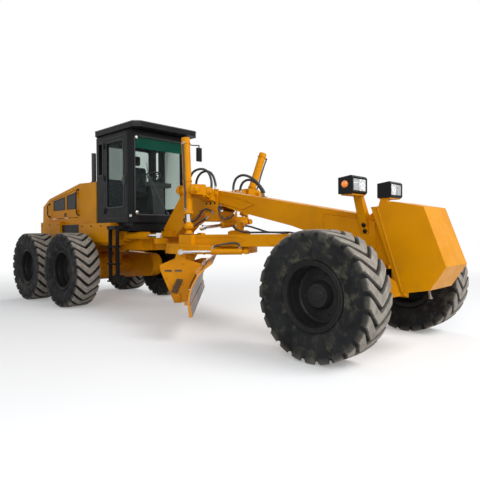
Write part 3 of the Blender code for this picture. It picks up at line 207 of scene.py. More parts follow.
def blade_metal():
    """Yellow paint on the back and ends, ground bare on the face that rolls the earth."""
    s = Shader("blade_metal")
    normal, edge = s.soft_edges(0.004)
    facing = s.node("VectorMath", operation="DOT_PRODUCT")
    s.feed(facing.inputs[0], s.node("TexCoord").outputs["Normal"])
    facing.inputs[1].default_value = (0.7001, 0.7141, 0.0)
    front = s.ramp(facing.outputs["Value"], 0.40, 0.46)
    paint = s.blend(s.ramp(s.noise(1.6, 4), 0.35, 0.65), (0.62, 0.246, 0.0005), (0.50, 0.184, 0.0005))
    paint = s.blend(s.ramp(s.noise(5, 6, 0.7), 0.55, 0.75, 0, 0.6), paint, (0.30, 0.19, 0.09))
    steel = s.blend(s.ramp(s.noise(3, 6, 0.65), 0.3, 0.7), (0.27, 0.235, 0.215), (0.155, 0.125, 0.105))
    scratch = s.noise(26, 6, 0.7, stretch=(2.5, 2.5, 0.35))
    steel = s.blend(s.ramp(scratch, 0.5, 0.75, 0.0, 0.45), steel, (0.40, 0.37, 0.35))
    bare = s.maths("MAXIMUM", front, s.maths("MULTIPLY", edge, s.ramp(s.noise(18, 5), 0.45, 0.6, 0, 0.9)))
    s.set(Base_Color=s.blend(bare, paint, steel), Metallic=s.maths("MULTIPLY", bare, 0.55))
    s.set(Roughness=s.ramp(scratch, 0.3, 0.7, 0.38, 0.62), Normal=s.bump(scratch, 0.12, 0.002, normal))
    return s.material


def chrome():
    s = Shader("chrome_rod")
    s.set(Base_Color=s.blend(s.ramp(s.noise(6, 4), 0.4, 0.7), (0.78, 0.78, 0.79), (0.60, 0.60, 0.60)))
    s.set(Metallic=1.0, Roughness=s.ramp(s.noise(14, 5), 0.3, 0.8, 0.08, 0.24))
    return s.material


def plain(name, colour, other, rough, metallic=0.0, grain=60.0, bump=0.2):
    """A moulded or textile surface: two shades of one colour, with its own grain."""
    s = Shader(name)
    grain_height = s.noise(grain, 4, 0.6)
    s.set(Base_Color=s.blend(s.ramp(s.noise(5, 4), 0.35, 0.65), colour, other), Metallic=metallic)
    s.set(Roughness=s.ramp(grain_height, 0.3, 0.7, rough - 0.05, rough + 0.08))
    s.set(Normal=s.bump(grain_height, bump, 0.002))
    return s.material


def glass(name, see_through, film, clear):
    """Thin panes: mostly see-through, with a faint film of dust that thickens in broad streaks."""
    s = Shader(name)
    dusty = s.ramp(s.noise(1.6, 3, 0.5, stretch=(1, 1, 0.3)), 0.45, 0.75, 0.0, 0.12)
    s.set(Base_Color=s.blend(dusty, film, tuple(c + 0.10 for c in film)))
    s.set(Roughness=s.ramp(dusty, 0.0, 0.12, 0.03, 0.10), IOR=1.45, Specular_IOR_Level=0.06)
    see = s.node("BsdfTransparent")
    s.feed(see.inputs["Color"], see_through)
    mix = s.node("MixShader")
    edge = s.node("LayerWeight")
    edge.inputs["Blend"].default_value = 0.2
    share = s.maths("SUBTRACT", clear, dusty)
    s.feed(mix.inputs[0], s.maths("MULTIPLY", share, s.ramp(edge.outputs["Fresnel"], 0.0, 1.0, 1.0, 0.4)))
    s.feed(mix.inputs[1], s.main.outputs[0])
    s.feed(mix.inputs[2], see.outputs[0])
    s.feed(s.tree.nodes["Material Output"].inputs["Surface"], mix.outputs[0])
    return s.material


def woven_mesh():
    """Fine black wire cloth over the hood's air openings, on an opaque sheet whose gaps are painted shade of
    the hollow behind.
    """
    s = Shader("wire_mesh")
    wires = []
    for turn in (0.0, math.pi / 2):
        wave = s.node("TexWave", wave_type="BANDS", bands_direction="X")
        s.feed(wave.inputs["Vector"], s.coords((1, 1, 1), (0, turn, 0)))
        wave.inputs["Scale"].default_value = 55
        wires.append(wave.outputs["Fac"])
    cloth = s.maths("MAXIMUM", *wires)
    # Between the wires the colour drops to near black: painted shade of the hollow behind the openings. The
    # wires themselves are black.
    s.set(Base_Color=s.blend(s.ramp(cloth, 0.55, 0.9), (0.003, 0.003, 0.003), (0.030, 0.030, 0.031)))
    s.set(Roughness=0.55, Normal=s.bump(cloth, 0.6, 0.003))
    return s.material


def lens(name, colour, glow=0.0):
    s = Shader(name)
    ribs = s.node("TexWave", wave_type="BANDS", bands_direction="Y")
    s.feed(ribs.inputs["Vector"], s.coords())
    ribs.inputs["Scale"].default_value = 28
    s.set(Base_Color=s.blend(ribs.outputs["Fac"], colour, tuple(c * 0.6 for c in colour)), Roughness=0.08)
    s.set(Coat_Weight=0.6, Normal=s.bump(ribs.outputs["Fac"], 0.5, 0.003))
    if glow:
        s.set(Emission_Color=colour, Emission_Strength=glow)
    return s.material


M = {
    "yellow": yellow_paint(), "black": black_paint(), "rubber": rubber(), "cast": cast_iron(),
    "rim": rim_paint(), "steel": bare_steel(), "chrome": chrome(), "blade": blade_metal(), "mesh": woven_mesh(),
    "glass": glass("cab_glass", (0.86, 0.90, 0.88), (0.05, 0.06, 0.06), 0.93),
    "tint": glass("tint_band", (0.10, 0.42, 0.30), (0.010, 0.085, 0.055), 0.45),
    "hose": plain("hose_rubber", (0.012, 0.012, 0.013), (0.024, 0.024, 0.025), 0.45, grain=220, bump=0.35),
    "seal": plain("window_seal", (0.008, 0.008, 0.008), (0.014, 0.014, 0.014), 0.6),
    "trim": plain("moulded_trim", (0.030, 0.031, 0.033), (0.045, 0.046, 0.048), 0.6, grain=140),
    "cloth": plain("seat_cloth", (0.030, 0.032, 0.036), (0.055, 0.057, 0.062), 0.85, grain=320, bump=0.5),
    "grey": plain("grey_plate", (0.20, 0.20, 0.20), (0.15, 0.15, 0.15), 0.5, 0.2),
    "zinc": plain("zinc_fitting", (0.55, 0.53, 0.48), (0.42, 0.40, 0.36), 0.32, 0.9),
    "grease": plain("greasy_steel", (0.030, 0.024, 0.018), (0.085, 0.070, 0.055), 0.35, 0.5, grain=40),
    "lens": lens("clear_lens", (0.80, 0.82, 0.82), 0.15), "grey_lens": lens("frosted_lens", (0.42, 0.44, 0.45)),
    "orange": lens("orange_lens", (0.90, 0.22, 0.02), 0.2),
}
for name, item in NODES.items():
    slot = item.data.materials[0].name.split(".")[0]
    item.data.materials[0] = M["blade"] if name == "moldboard" else M.get(slot, M["yellow"])


# ---- forms ----
class Form:
    """Collects verts and faces of one piece, with a value that marks worn surfaces."""

    def __init__(self):
        self.verts, self.faces, self.worn = [], [], []

    def put(self, verts, faces, matrix=None, worn=0.0):
        start = len(self.verts)
        self.verts += [tuple(matrix @ Vector(v)) if matrix else tuple(v) for v in verts]
        self.faces += [tuple(i + start for i in face) for face in faces]
        self.worn += worn if isinstance(worn, list) else [worn] * len(verts)
        return self

    def box(self, low, high):
        x, y, z = zip(low, high)
        verts = [(x[i], y[j], z[k]) for i in (0, 1) for j in (0, 1) for k in (0, 1)]
        faces = [(0, 1, 3, 2), (4, 6, 7, 5), (0, 4, 5, 1), (2, 3, 7, 6), (0, 2, 6, 4), (1, 5, 7, 3)]
        return self.put(verts, faces)

    def lathe(self, profile, sides, matrix=None, ring=False):
        """Turns a profile of (height, radius) points about Z, or closes it as a ring."""
        verts, rows = [], []
        for along, radius in profile:
            if radius == 0:
                rows.append([len(verts)])
                verts.append((0, 0, along))
                continue
            rows.append(list(range(len(verts), len(verts) + sides)))
            verts += [(radius * math.cos(a), radius * math.sin(a), along)
                      for a in (2 * math.pi * k / sides for k in range(sides))]
        faces = []
        pairs = list(zip(rows, rows[1:])) + ([(rows[-1], rows[0])] if ring else [])
        for low, high in pairs:
            for k in range(sides):
                n = (k + 1) % sides
                if len(low) == 1 and len(high) > 1:
                    faces.append((low[0], high[n], high[k]))
                elif len(high) == 1 and len(low) > 1:
                    faces.append((low[k], low[n], high[0]))
                elif len(low) > 1:
                    faces.append((low[k], low[n], high[n], high[k]))
        return self.put(verts, faces, matrix)

    def boss(self, profile, sides, place, direction):
        """A turned piece that stands on a place, closed at both ends of its profile."""
        ends = (profile[0][0], 0), (profile[-1][0], 0)
        return self.lathe([ends[0], *profile, ends[1]], sides, aim(place, direction))

    def rod(self, start, end, radius, sides=16):
        reach = Vector(end) - Vector(start)
        return self.boss([(0, radius), (reach.length, radius)], sides, start, reach)

    def tube(self, points, radius, sides=10, rounds=2):
        """A pipe along a smoothed line."""
        line = smoothed(points, rounds)
        verts, faces = [], []
        side = None
        for k, point in enumerate(line):
            run = (line[min(k + 1, len(line) - 1)] - line[max(k - 1, 0)]).normalized()
            if side is None:
                side = run.cross(UP) if abs(run.z) < 0.9 else run.cross(Vector((1, 0, 0)))
            side = (side - run * side.dot(run)).normalized()
            other = run.cross(side)
            verts += [tuple(point + (side * math.cos(a) + other * math.sin(a)) * radius)
                      for a in (2 * math.pi * j / sides for j in range(sides))]
        for k in range(len(line) - 1):
            low, high = k * sides, (k + 1) * sides
            for j in range(sides):
                n = (j + 1) % sides
                faces.append((low + j, low + n, high + n, high + j))
        faces += [tuple(range(sides))[::-1], tuple(range((len(line) - 1) * sides, len(line) * sides))]
        return self.put(verts, faces)

    def bolt(self, place, direction, radius):
        """A hex head on a washer."""
        height, washer = radius * 0.8, radius * 1.45
        return self.boss([(-0.002, washer), (height * 0.2, washer), (height * 0.2, radius),
                          (height * 0.85, radius), (height, radius * 0.8)], 6, place, direction)

    def plate(self, outline, axis, low, high, matrix=None):
        """An outline in the plane across an axis, thickened from low to high along it."""
        n, slot = len(outline), "XYZ".index(axis)
        verts = [(*p[:slot], level, *p[slot:]) for level in (low, high) for p in outline]
        faces = [tuple(range(n)), tuple(range(2 * n - 1, n - 1, -1))]
        faces += [(k, (k + 1) % n, n + (k + 1) % n, n + k)[::-1] for k in range(n)]
        return self.put(verts, faces, matrix)


def smoothed(points, rounds):
    """Cuts the corners of a line, each time by a quarter of its runs."""
    line = [Vector(p) for p in points]
    for _ in range(rounds):
        cut = [q for a, b in zip(line, line[1:]) for q in (a.lerp(b, 0.25), a.lerp(b, 0.75))]
        line = [line[0], *cut, line[-1]]
    return line


def ring_angles(count, start=0.0):
    return [2 * math.pi * k / count + start for k in range(count)]


def wrapped_grid(rows, count):
    """The faces of a closed ring of rows, each a closed loop of count points."""
    faces = []
    for j in range(rows):
        here, there = j * count, (j + 1) % rows * count
        for k in range(count):
            n = (k + 1) % count
            faces.append((here + k, here + n, there + n, there + k))
    return faces


def on_side(point, sign):
    """A point given for the left side, on the side that the sign names."""
    return point[0], sign * point[1], point[2]


def rectangle(left, right, low, high):
    return [(left, low), (right, low), (right, high), (left, high)]


def aim(start, direction):
    """A frame at a start point whose Z runs along a direction."""
    turn = UP.rotation_difference(Vector(direction).normalized()).to_matrix().to_4x4()
    return Matrix.Translation(Vector(start)) @ turn


def piece(name, form, look, body, slot, replaces=(), bevel=0.0, smooth=40):
    """Makes the form an object with its material, riding on a body."""
    mesh = bpy.data.meshes.new(name)
    mesh.from_pydata(form.verts, [], form.faces)
    mesh.validate()
    if any(form.worn):
        layer = mesh.attributes.new("worn", "FLOAT", "POINT")
        layer.data.foreach_set("value", form.worn)
    made = bpy.data.objects.new(name, mesh)
    bpy.context.scene.collection.objects.link(made)
    work = bmesh.new()
    work.from_mesh(mesh)
    bmesh.ops.recalc_face_normals(work, faces=work.faces)
    work.to_mesh(mesh)
    work.free()
    if bevel:
        cut = made.modifiers.new("bevel", "BEVEL")
        cut.width, cut.segments, cut.limit_method = bevel, 2, "ANGLE"
    mesh.materials.append(M[look])
    mesh.shade_smooth()
    mesh.set_sharp_from_angle(angle=math.radians(smooth))
    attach(made, body)
    if replaces:
        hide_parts(*replaces)
    return made


def solid(name, body, slot, look, build, **how):
    """A piece whose form is made by one function call on a fresh Form."""
    form = Form()
    build(form)
    return piece(name, form, look, body, slot, **how)


# Frames and sizes of the linkage, the wheels, the cab and the hood, as the CAD has them
BALL_X, DRAWBAR_LENGTH = 2.615, 1.95
DRAWBAR_SWING, BLADE_TURN = math.radians(3.5), math.radians(42.07)
DRAWBAR = Matrix.Translation((BALL_X, 0, 0)) @ Matrix.Rotation(DRAWBAR_SWING, 4, "Z")
CIRCLE = DRAWBAR @ Matrix.Translation((-DRAWBAR_LENGTH, 0, 0)) @ Matrix.Rotation(BLADE_TURN, 4, "Z")
REAR_XS, HALF_TRACK, R = (-2.085, -3.623), 1.078, 0.675
CAB_HALF, CAB_FRONT, CAB_BACK = 0.65, -0.745, -1.905
HOOD_HALF = 0.64
LIFT_PIN = (0.765, 0.68, 1.96)
LIFT_STUD, LIFT_EYE_Z = (-1.85, 0.58), 1.4238
BRACKET_FACE = -0.8255
LAMP = (3.365, 0.45, 1.84)
BOOM_HOSE, FRAME_HOSE, CYLINDER_HOSE = 0.019, 0.014, 0.013


# ---- tyres and rims ----
def tyre_form(sign):
    """Wide V-shaped lugs round the tread, whose ends run down the shoulders, and a ribbed sidewall."""
    lugs, tread_steps, half_tread = 24, 12, 0.206
    pitch = 2 * math.pi / lugs
    # Angle in degrees from the lug's middle, and whether the tread stands high there
    teeth = ((-5.9, 0), (-4.7, 1), (-4.2, 1), (0, 1), (4.2, 1), (4.7, 1), (5.9, 0), (7.5, 0))
    rows = []
    for j in range(tread_steps + 1):
        y = half_tread * (2 * j / tread_steps - 1)
        share = abs(y) / half_tread
        rows.append(("tread", y, sign * pitch * (1 - share ** 1.15), 0.004 * share ** 3))
    sidewall = ((0.2225, 0.596), (0.2235, 0.560), (0.2215, 0.515), (0.219, 0.508), (0.221, 0.500),
                (0.212, 0.450), (0.200, 0.418), (0.192, 0.395), (0.193, 0.385), (0.180, 0.375), (0.1705, 0.364),
                (0.170, 0.331))
    left = [("side", y, radius) for y, radius in sidewall]
    order = [(kind, -y, r) for kind, y, r in reversed(left)] + [("edge", -1)] + rows + [("edge", 1)] + left
    verts, worn, count = [], [], lugs * len(teeth)
    for row in order:
        for k in range(lugs):
            for angle, high in teeth:
                a = math.pi / 2 + k * pitch + math.radians(angle)
                mark = 0.0
                if row[0] == "tread":
                    _, y, turn, fall = row
                    a += turn
                    radius = R - 0.0008 - fall if high else R - 0.036 - 0.006 * (abs(angle) > 7)
                    mark = 1.0 if high and abs(angle) < 4.5 else (0.55 if high else 0.0)
                elif row[0] == "edge":
                    y = row[1] * (0.2215 if high else 0.2065)
                    radius = R - 0.020 if high else R - 0.046
                    mark = 0.25 if high else 0.0
                else:
                    y, radius = row[1], row[2]
                    if radius > 0.59:
                        y = math.copysign(0.2225 if high else 0.214, y)
                verts.append((radius * math.cos(a), radius * math.sin(a), y))
                worn.append(mark)
    return Form().put(verts, wrapped_grid(len(order), count), worn=worn)


def rim_form(hub_in, hub_out):
    """A dished rim with a lock ring, wheel bolts, hub bolts and a valve."""
    form = Form()
    form.lathe([
        (hub_in, 0), (hub_in, 0.125), (-0.030, 0.130), (-0.030, 0.275), (-0.184, 0.305), (-0.188, 0.311),
        (-0.188, 0.356), (-0.183, 0.362), (-0.171, 0.362), (-0.171, 0.3295), (0.171, 0.3295), (0.171, 0.362),
        (0.183, 0.362), (0.188, 0.356), (0.188, 0.345), (0.180, 0.339), (0.178, 0.330), (0.186, 0.325),
        (0.186, 0.317), (0.176, 0.309), (0.130, 0.303), (0.110, 0.306), (0.100, 0.300), (0.040, 0.293),
        (0.004, 0.284), (-0.008, 0.268), (-0.010, 0.225), (-0.002, 0.165), (0.004, 0.150),
        (hub_out - 0.012, 0.126), (hub_out - 0.002, 0.118), (hub_out, 0.108), (hub_out, 0.070),
        (hub_out + 0.006, 0.062), (hub_out + 0.006, 0)], 72)
    for a in ring_angles(10):
        form.bolt((0.205 * math.cos(a), 0.205 * math.sin(a), -0.010), UP, 0.015)
        form.bolt((0.092 * math.cos(a + 0.3), 0.092 * math.sin(a + 0.3), hub_out), UP, 0.008)
    form.rod((0.283, 0.05, 0.0), (0.270, 0.055, 0.05), 0.006, 8)
    return form


for place in ("front", "middle", "rear"):
    for side, sign in SIDES.items():
        name = f"{place}_{side}"
        low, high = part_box("tyre_" + name)
        centre = ((low[0] + high[0]) / 2, (low[1] + high[1]) / 2, R)
        matrix = aim(centre, (0, sign, 0))
        roll = Matrix.Rotation(math.radians(random.choice(range(0, 360, 15))), 4, "Z")
        hub = (-0.147, 0.085) if place == "front" else (-0.247, 0.050)
        dressed = (("tyre", tyre_form(sign), "rubber", "rubber"), ("rim", rim_form(*hub), "rim", "black"))
        for kind, source, key, slot in dressed:
            form = Form().put(source.verts, source.faces, matrix @ roll, source.worn)
            piece(f"{kind}_dressed_{name}", form, key, "wheel_" + name, slot, (f"{kind}_{name}",), smooth=34)


# ---- cab ----
def opening_frame(form, axis, across, height, plane, out, width=0.022, proud=0.006, corner=0.05):
    """A rubber seal round a window, with rounded corners, proud of the wall on its outer side."""
    def loop(grow, round_by):
        points = []
        for quarter, (i, j) in enumerate(((1, 1), (0, 1), (0, 0), (1, 0))):
            sx, sz = 2 * i - 1, 2 * j - 1
            mx, mz = across[i] + sx * grow - sx * round_by, height[j] + sz * grow - sz * round_by
            turns = [math.radians(90 * quarter + a) for a in (0, 30, 60, 90)]
            points += [(mx + round_by * math.cos(a), mz + round_by * math.sin(a)) for a in turns]
        return points
    inner = loop(-0.006, corner - 0.01)
    rings = [(loop(0.006, corner), 0.0), (loop(width, corner + 0.01), 0.0),
             (loop(width - 0.003, corner + 0.008), proud), (loop(0.0, corner - 0.005), proud),
             (inner, proud - 0.004), (inner, -0.004)]
    verts = []
    for points, depth in rings:
        level = plane + out * depth
        verts += [(level, p, q) if axis == "X" else (p, level, q) for p, q in points]
    form.put(verts, wrapped_grid(len(rings), len(rings[0][0])))


def cab_seals(form):
    """Seals of the windshield, the rear window and the narrow windows behind the doors."""
    opening_frame(form, "X", (-0.575, 0.575), (1.66, 3.00), CAB_FRONT, 1)
    opening_frame(form, "X", (-0.52, 0.52), (2.36, 2.98), CAB_BACK, -1)
    for sign in SIDES.values():
        opening_frame(form, "Y", (-1.835, -1.690), (2.40, 2.98), sign * CAB_HALF, sign, corner=0.035)


solid("cab_window_seals", "rear_frame", "black", "seal", cab_seals)
for side, sign in SIDES.items():
    solid("cab_door_seal_" + side, "cab_door_" + side, "black", "seal",
          lambda f: opening_frame(f, "Y", (-1.545, -1.005), (1.80, 2.96), sign * CAB_HALF, sign))

    def handle(f):
        x, y = -0.972, sign * CAB_HALF
        f.plate(rectangle(x - 0.022, x + 0.022, 2.16, 2.34), "Y", *sorted((y, y + sign * 0.008)))
        out = y + sign * 0.045
        f.tube([(x, y, 2.19), (x, out, 2.20), (x, out, 2.30), (x, y, 2.31)], 0.008)
        f.rod((x, y, 2.175), (x, y + sign * 0.014, 2.175), 0.010)
    solid("cab_door_handle_" + side, "cab_door_" + side, "black", "trim", handle)

    def edge_seal(f):
        y = sign * (CAB_HALF + 0.002)
        for x0, x1, z0, z1 in ((-1.628, -1.614, 1.60, 3.04), (-0.936, -0.922, 1.60, 3.04),
                               (-1.62, -0.93, 3.034, 3.046), (-1.62, -0.93, 1.594, 1.606)):
            f.box((x0, min(y, y - sign * 0.004), z0), (x1, max(y, y - sign * 0.004), z1))
    solid("cab_door_edge_" + side, "cab_door_" + side, "black", "seal", edge_seal)
solid("windshield_tint_band", "rear_frame", "glass", "tint",
      lambda f: f.plate(rectangle(-0.568, 0.568, 2.80, 2.992), "X", -0.7655, -0.7635))


def silver_fittings(f):
    for y, z in ((-0.55, 2.975), (-0.55, 1.69), (0.55, 2.975), (0.55, 1.69)):
        f.boss([(0, 0.030), (0.008, 0.030), (0.014, 0.022)], 20, (CAB_FRONT + 0.006, y, z), (1, 0, 0))
    for sign in SIDES.values():
        f.boss([(0, 0.026), (0.008, 0.026), (0.013, 0.018)], 20, (-0.795, sign * 0.640, 1.63), (0.4, sign, 0))


solid("cab_silver_fittings", "rear_frame", "black", "zinc", silver_fittings)


def wiper(f):
    f.tube([(-0.737, 0.10, 1.70), (-0.722, 0.04, 1.75), (-0.724, -0.22, 2.18), (-0.736, -0.30, 2.34)], 0.007, 8)
    f.plate([(-0.235, 2.02), (-0.225, 2.02), (-0.345, 2.56), (-0.355, 2.56)], "X", -0.741, -0.733)
    f.boss([(0, 0.025), (0.022, 0.020)], 16, (-0.745, 0.10, 1.69), (1, 0, 0))


solid("windshield_wiper", "rear_frame", "black", "trim", wiper)


def roof_trim(f):
    """A rain lip round the roof's edge."""
    outline = [(-1.955, -0.60), (-1.855, -0.70), (-0.63, -0.70), (-0.535, -0.60)]
    outline += [(x, -y) for x, y in reversed(outline)]
    for k, a in enumerate(outline):
        b = outline[(k + 1) % len(outline)]
        f.rod((*a, 3.214), (*b, 3.214), 0.008, 8)


solid("roof_edge_lip", "rear_frame", "black", "grey", roof_trim)


seat_parts = (
    ("seat_cushion", "cloth", [((-1.66, -0.25, 1.975), (-1.15, 0.25, 2.095))], 0.045),
    ("seat_backrest", "cloth", [((-1.70, -0.235, 2.06), (-1.56, 0.235, 2.60))], 0.05),
    ("seat_headrest", "cloth", [((-1.70, -0.13, 2.64), (-1.60, 0.13, 2.82))], 0.04),
    ("seat_armrests", "trim", [((-1.60, -0.315, 2.26), (-1.22, -0.255, 2.31)),
                               ((-1.60, 0.255, 2.26), (-1.22, 0.315, 2.31))], 0.018),
    ("seat_base", "trim", [((-1.60, -0.19, 1.585), (-1.24, 0.19, 1.70)),
                           ((-1.56, -0.15, 1.70), (-1.28, 0.15, 1.975)),
                           ((-1.66, -0.02, 2.58), (-1.64, 0.02, 2.66))], 0.02),
)
for name, key, boxes, width in seat_parts:
    made = solid(name, "rear_frame", "trim", key, lambda f: [f.box(*b) for b in boxes], bevel=width,
                 replaces=("seat",) if name == "seat_base" else ())
    made.modifiers["bevel"].segments = 4


def console(f):
    """A steering post with a bar of levers and a wheel on its hub."""
    f.plate([(-1.05, 1.581), (-0.84, 1.581), (-0.90, 2.18), (-1.02, 2.26)], "Y", -0.13, 0.13)
    f.box((-1.06, -0.30, 2.17), (-0.88, 0.30, 2.25))
    for k in range(8):
        y = -0.26 + 0.045 * k + (0.16 if k > 3 else 0)
        f.rod((-0.98, y, 2.25), (-1.02, y, 2.36), 0.006, 8)
        f.lathe([(0, 0), (0.004, 0.012), (0.02, 0.016), (0.036, 0.010), (0.04, 0)], 12,
                aim((-1.02, y, 2.355), (-0.3, 0, 1)))
    hub, tilt = Vector((-1.04, 0, 2.24)), Vector((-0.55, 0, 1)).normalized()
    f.rod(hub - tilt * 0.05, hub + tilt * 0.12, 0.028)
    turn = aim(hub + tilt * 0.13, tilt)
    rim = [(0.015 * math.sin(a), 0.185 + 0.015 * math.cos(a)) for a in ring_angles(10)]
    f.lathe(rim, 40, turn, ring=True)
    f.lathe([(-0.01, 0), (-0.01, 0.045), (0.012, 0.035), (0.012, 0)], 20, turn)
    for a in ring_angles(3, 0.5):
        f.rod(turn.translation, turn @ Vector((0.18 * math.cos(a), 0.18 * math.sin(a), 0)), 0.009, 8)


solid("steering_console_dressed", "rear_frame", "trim", "trim", console, bevel=0.006,
      replaces=("steering_console",))


def mirror_glass(f):
    f.box((-1.372, 1.335, 2.85), (-1.361, 1.435, 3.09))


solid("mirror_glass", "rear_frame", "chrome", "chrome", mirror_glass, bevel=0.004)


# ---- hood ----
MESH_WINDOWS = (((-3.735, 1.832), (-3.228, 1.832), (-3.225, 2.088), (-3.735, 2.022)),
                ((-3.122, 1.835), (-2.765, 1.835), (-2.750, 2.152), (-3.122, 2.104)))
for side, sign in SIDES.items():
    y = sign * HOOD_HALF
    body = "hood_door_" + side

    def mesh_panels(f):
        for outline in MESH_WINDOWS:
            f.plate(outline, "Y", *sorted((y + sign * 0.0005, y + sign * 0.004)))

    def mesh_frames(f):
        for outline in MESH_WINDOWS:
            ring = [Vector((p[0], y + sign * 0.003, p[1])) for p in outline]
            for k, a in enumerate(ring):
                f.rod(a, ring[(k + 1) % 4], 0.009, 8)
            mid = sum(ring, Vector()) / 4
            f.boss([(0, 0.006), (0.01, 0.006)], 8, mid, (0, sign, 0))

    def latch(f):
        for z in (1.70, 1.74):
            f.plate(rectangle(-3.205, -3.165, z - 0.015, z + 0.015), "Y", *sorted((y, y + sign * 0.012)))
        x, near, far = -3.185, y + sign * 0.010, y + sign * 0.030
        f.tube([(x, near, 1.755), (x, far, 1.75), (x, far, 1.69), (x, near, 1.685)], 0.006, 8)

    def rails(f):
        for x, low, high in ((-2.635, 1.70, 2.20), (-3.93, 1.70, 1.98)):
            out = y + sign * 0.055
            f.tube([(x, y, low), (x, out, low + 0.02), (x, out, (low + high) / 2), (x, out, high - 0.02),
                    (x, y, high)], 0.011, 12)
            for z in (low, high):
                f.boss([(0, 0.024), (0.008, 0.022), (0.014, 0.014)], 14, (x, y, z), (0, sign, 0))
    solid("hood_mesh_" + side, body, "black", "mesh", mesh_panels)
    solid("hood_mesh_frame_" + side, body, "black", "seal", mesh_frames)
    solid("hood_latch_" + side, body, "black", "trim", latch)
    solid("hood_grab_rails_" + side, "rear_frame", "black", "black", rails)
    solid("deck_recess_panel_" + side, "rear_frame", "black", "black",
          lambda f: f.plate(rectangle(-3.24, -2.43, 1.212, 1.512), "Y", *sorted((sign * 0.6905, sign * 0.700))),
          bevel=0.004)

    def deck_bolts(f):
        for x in (-2.30, -1.95, -1.60):
            f.bolt((x, sign * 0.7505, 1.47), (0, sign, 0), 0.012)
        for x in (-3.32, -3.70, -4.08):
            f.bolt((x, sign * 0.7505, 1.52), (0, sign, 0), 0.012)
    solid("deck_bolts_" + side, "rear_frame", "black", "black", deck_bolts)

    def tandem_dress(f):
        wall = sign * (HALF_TRACK - 0.273)
        for x in REAR_XS:
            f.boss([(0, 0.205), (0.010, 0.200)], 36, (x, wall, R), (0, sign, 0))
            for a in ring_angles(12, math.pi / 12):
                place = (x + 0.185 * math.cos(a), wall + sign * 0.010, R + 0.185 * math.sin(a))
                f.bolt(place, (0, sign, 0), 0.010)
        for k in range(7):
            x = REAR_XS[1] + 0.25 + k * 0.175
            f.bolt((x, wall, 0.425 if abs(x - sum(REAR_XS) / 2) > 0.2 else 0.40), (0, sign, 0), 0.010)
    solid("tandem_covers_" + side, "rear_frame", "yellow", "yellow", tandem_dress)


# ---- lamps ----
for side, sign in SIDES.items():
    x, y, z = on_side(LAMP, sign)
    inner, outer = y - sign * 0.16, y + sign * 0.16

    def lens_block(a, b):
        low, high = sorted((a, b))
        return lambda f: f.box((x + 0.0755, low, z - 0.066), (x + 0.0865, high, z + 0.066))
    solid("lamp_bright_lens_" + side, "front_frame", "glass", "lens",
          lens_block(inner + sign * 0.028, inner + sign * 0.158), bevel=0.006)
    solid("lamp_grey_lens_" + side, "front_frame", "glass", "grey_lens",
          lens_block(inner + sign * 0.170, outer - sign * 0.028), bevel=0.006)

    def reflector(f):
        centre = (x + 0.087, inner + sign * 0.093, z)
        f.lathe([(0, 0.050), (0, 0.058), (0.003, 0.056), (0.003, 0.050)], 28, aim(centre, (1, 0, 0)), ring=True)
        f.boss([(0, 0.014), (0.004, 0.012)], 16, centre, (1, 0, 0))
    solid("lamp_reflector_" + side, "front_frame", "chrome", "chrome", reflector)
    solid("turn_lamp_" + side, "front_frame", "trim", "orange",
          lambda f: f.lathe([(0, 0), (0, 0.040), (0.010, 0.040), (0.024, 0.030), (0.030, 0.014), (0.031, 0)],
                            28, aim((x - 0.005, outer, z + 0.005), (0, sign, 0))))

    def lamp_bolts(f):
        for out, z_bolt in ((0.202, 1.33), (0.231, 1.40)):
            f.boss([(-0.006, 0.026), (0.010, 0.026), (0.018, 0.018)], 20, (x + 0.012, sign * out, z_bolt),
                   (0, sign * 0.93, -0.36))
    solid("lamp_arm_bolts_" + side, "front_frame", "black", "black", lamp_bolts)


# ---- boom, saddle and weight ----
def weld(f, points, radius=0.006):
    """A weld bead: a thin rope of beads along a line."""
    line = [Vector(p) for p in points]
    bead = [(-radius, 0), (-radius * 0.6, radius * 0.8), (0, radius), (radius * 0.6, radius * 0.8), (radius, 0)]
    for a, b in zip(line, line[1:]):
        count = max(2, int((b - a).length / 0.012))
        for k in range(count):
            p = a.lerp(b, k / count)
            f.lathe(bead, 6, aim(p, b - a))


def boom_welds(f):
    for sign in SIDES.values():
        y = sign * 0.182
        weld(f, [(0.845, y, 1.80), (1.40, y, 1.66), (1.62, y, 1.72), (1.40, y, 1.80), (0.60, y, 1.98)])
        weld(f, [(2.80, y, 1.28), (2.80, y, 1.55), (3.50, y, 1.45)])


solid("boom_welds", "front_frame", "yellow", "yellow", boom_welds)


def saddle_dress(f):
    for sign in SIDES.values():
        y = sign * 0.2175
        for x, z, r in ((0.665, 1.93, 0.040), (0.865, 1.93, 0.040), (0.765, 1.86, 0.030)):
            f.boss([(-0.005, r), (0.020, r), (0.026, r * 0.8)], 24, (x, y, z), (0, sign, 0))
        for x in (0.66, 0.87):
            for z in (1.56, 1.66):
                f.bolt((x, y, z), (0, sign, 0), 0.014)
        for s in (-1, 1):
            tip = on_side((LIFT_PIN[0] + s * 0.215, *LIFT_PIN[1:]), sign)
            f.boss([(-0.01, 0.045), (0.006, 0.043), (0.012, 0.030)], 20, tip, (s, 0, 0))


solid("saddle_bosses", "front_frame", "yellow", "yellow", saddle_dress)


def weight_trim(f):
    for sign in SIDES.values():
        y = sign * 0.300
        f.tube([(3.870, y, 0.668), (3.583, y, 1.592)], 0.014, 10, rounds=0)
    for k in range(5):
        p = Vector((3.556, 0, 1.585)).lerp(Vector((3.852, 0, 0.700)), (k + 0.5) / 5)
        for sign in SIDES.values():
            f.bolt((p.x - 0.030, sign * 0.250, p.z - 0.008), (-0.955, 0, -0.297), 0.016)


solid("weight_edge_beads", "front_frame", "yellow", "yellow", weight_trim)
solid("weight_tow_pin", "front_frame", "yellow", "steel",
      lambda f: [f.rod((4.03, 0, 0.705), (4.05, 0, 0.600), 0.014),
                 f.rod((4.05, 0, 0.602), (4.05, 0, 0.585), 0.022)])


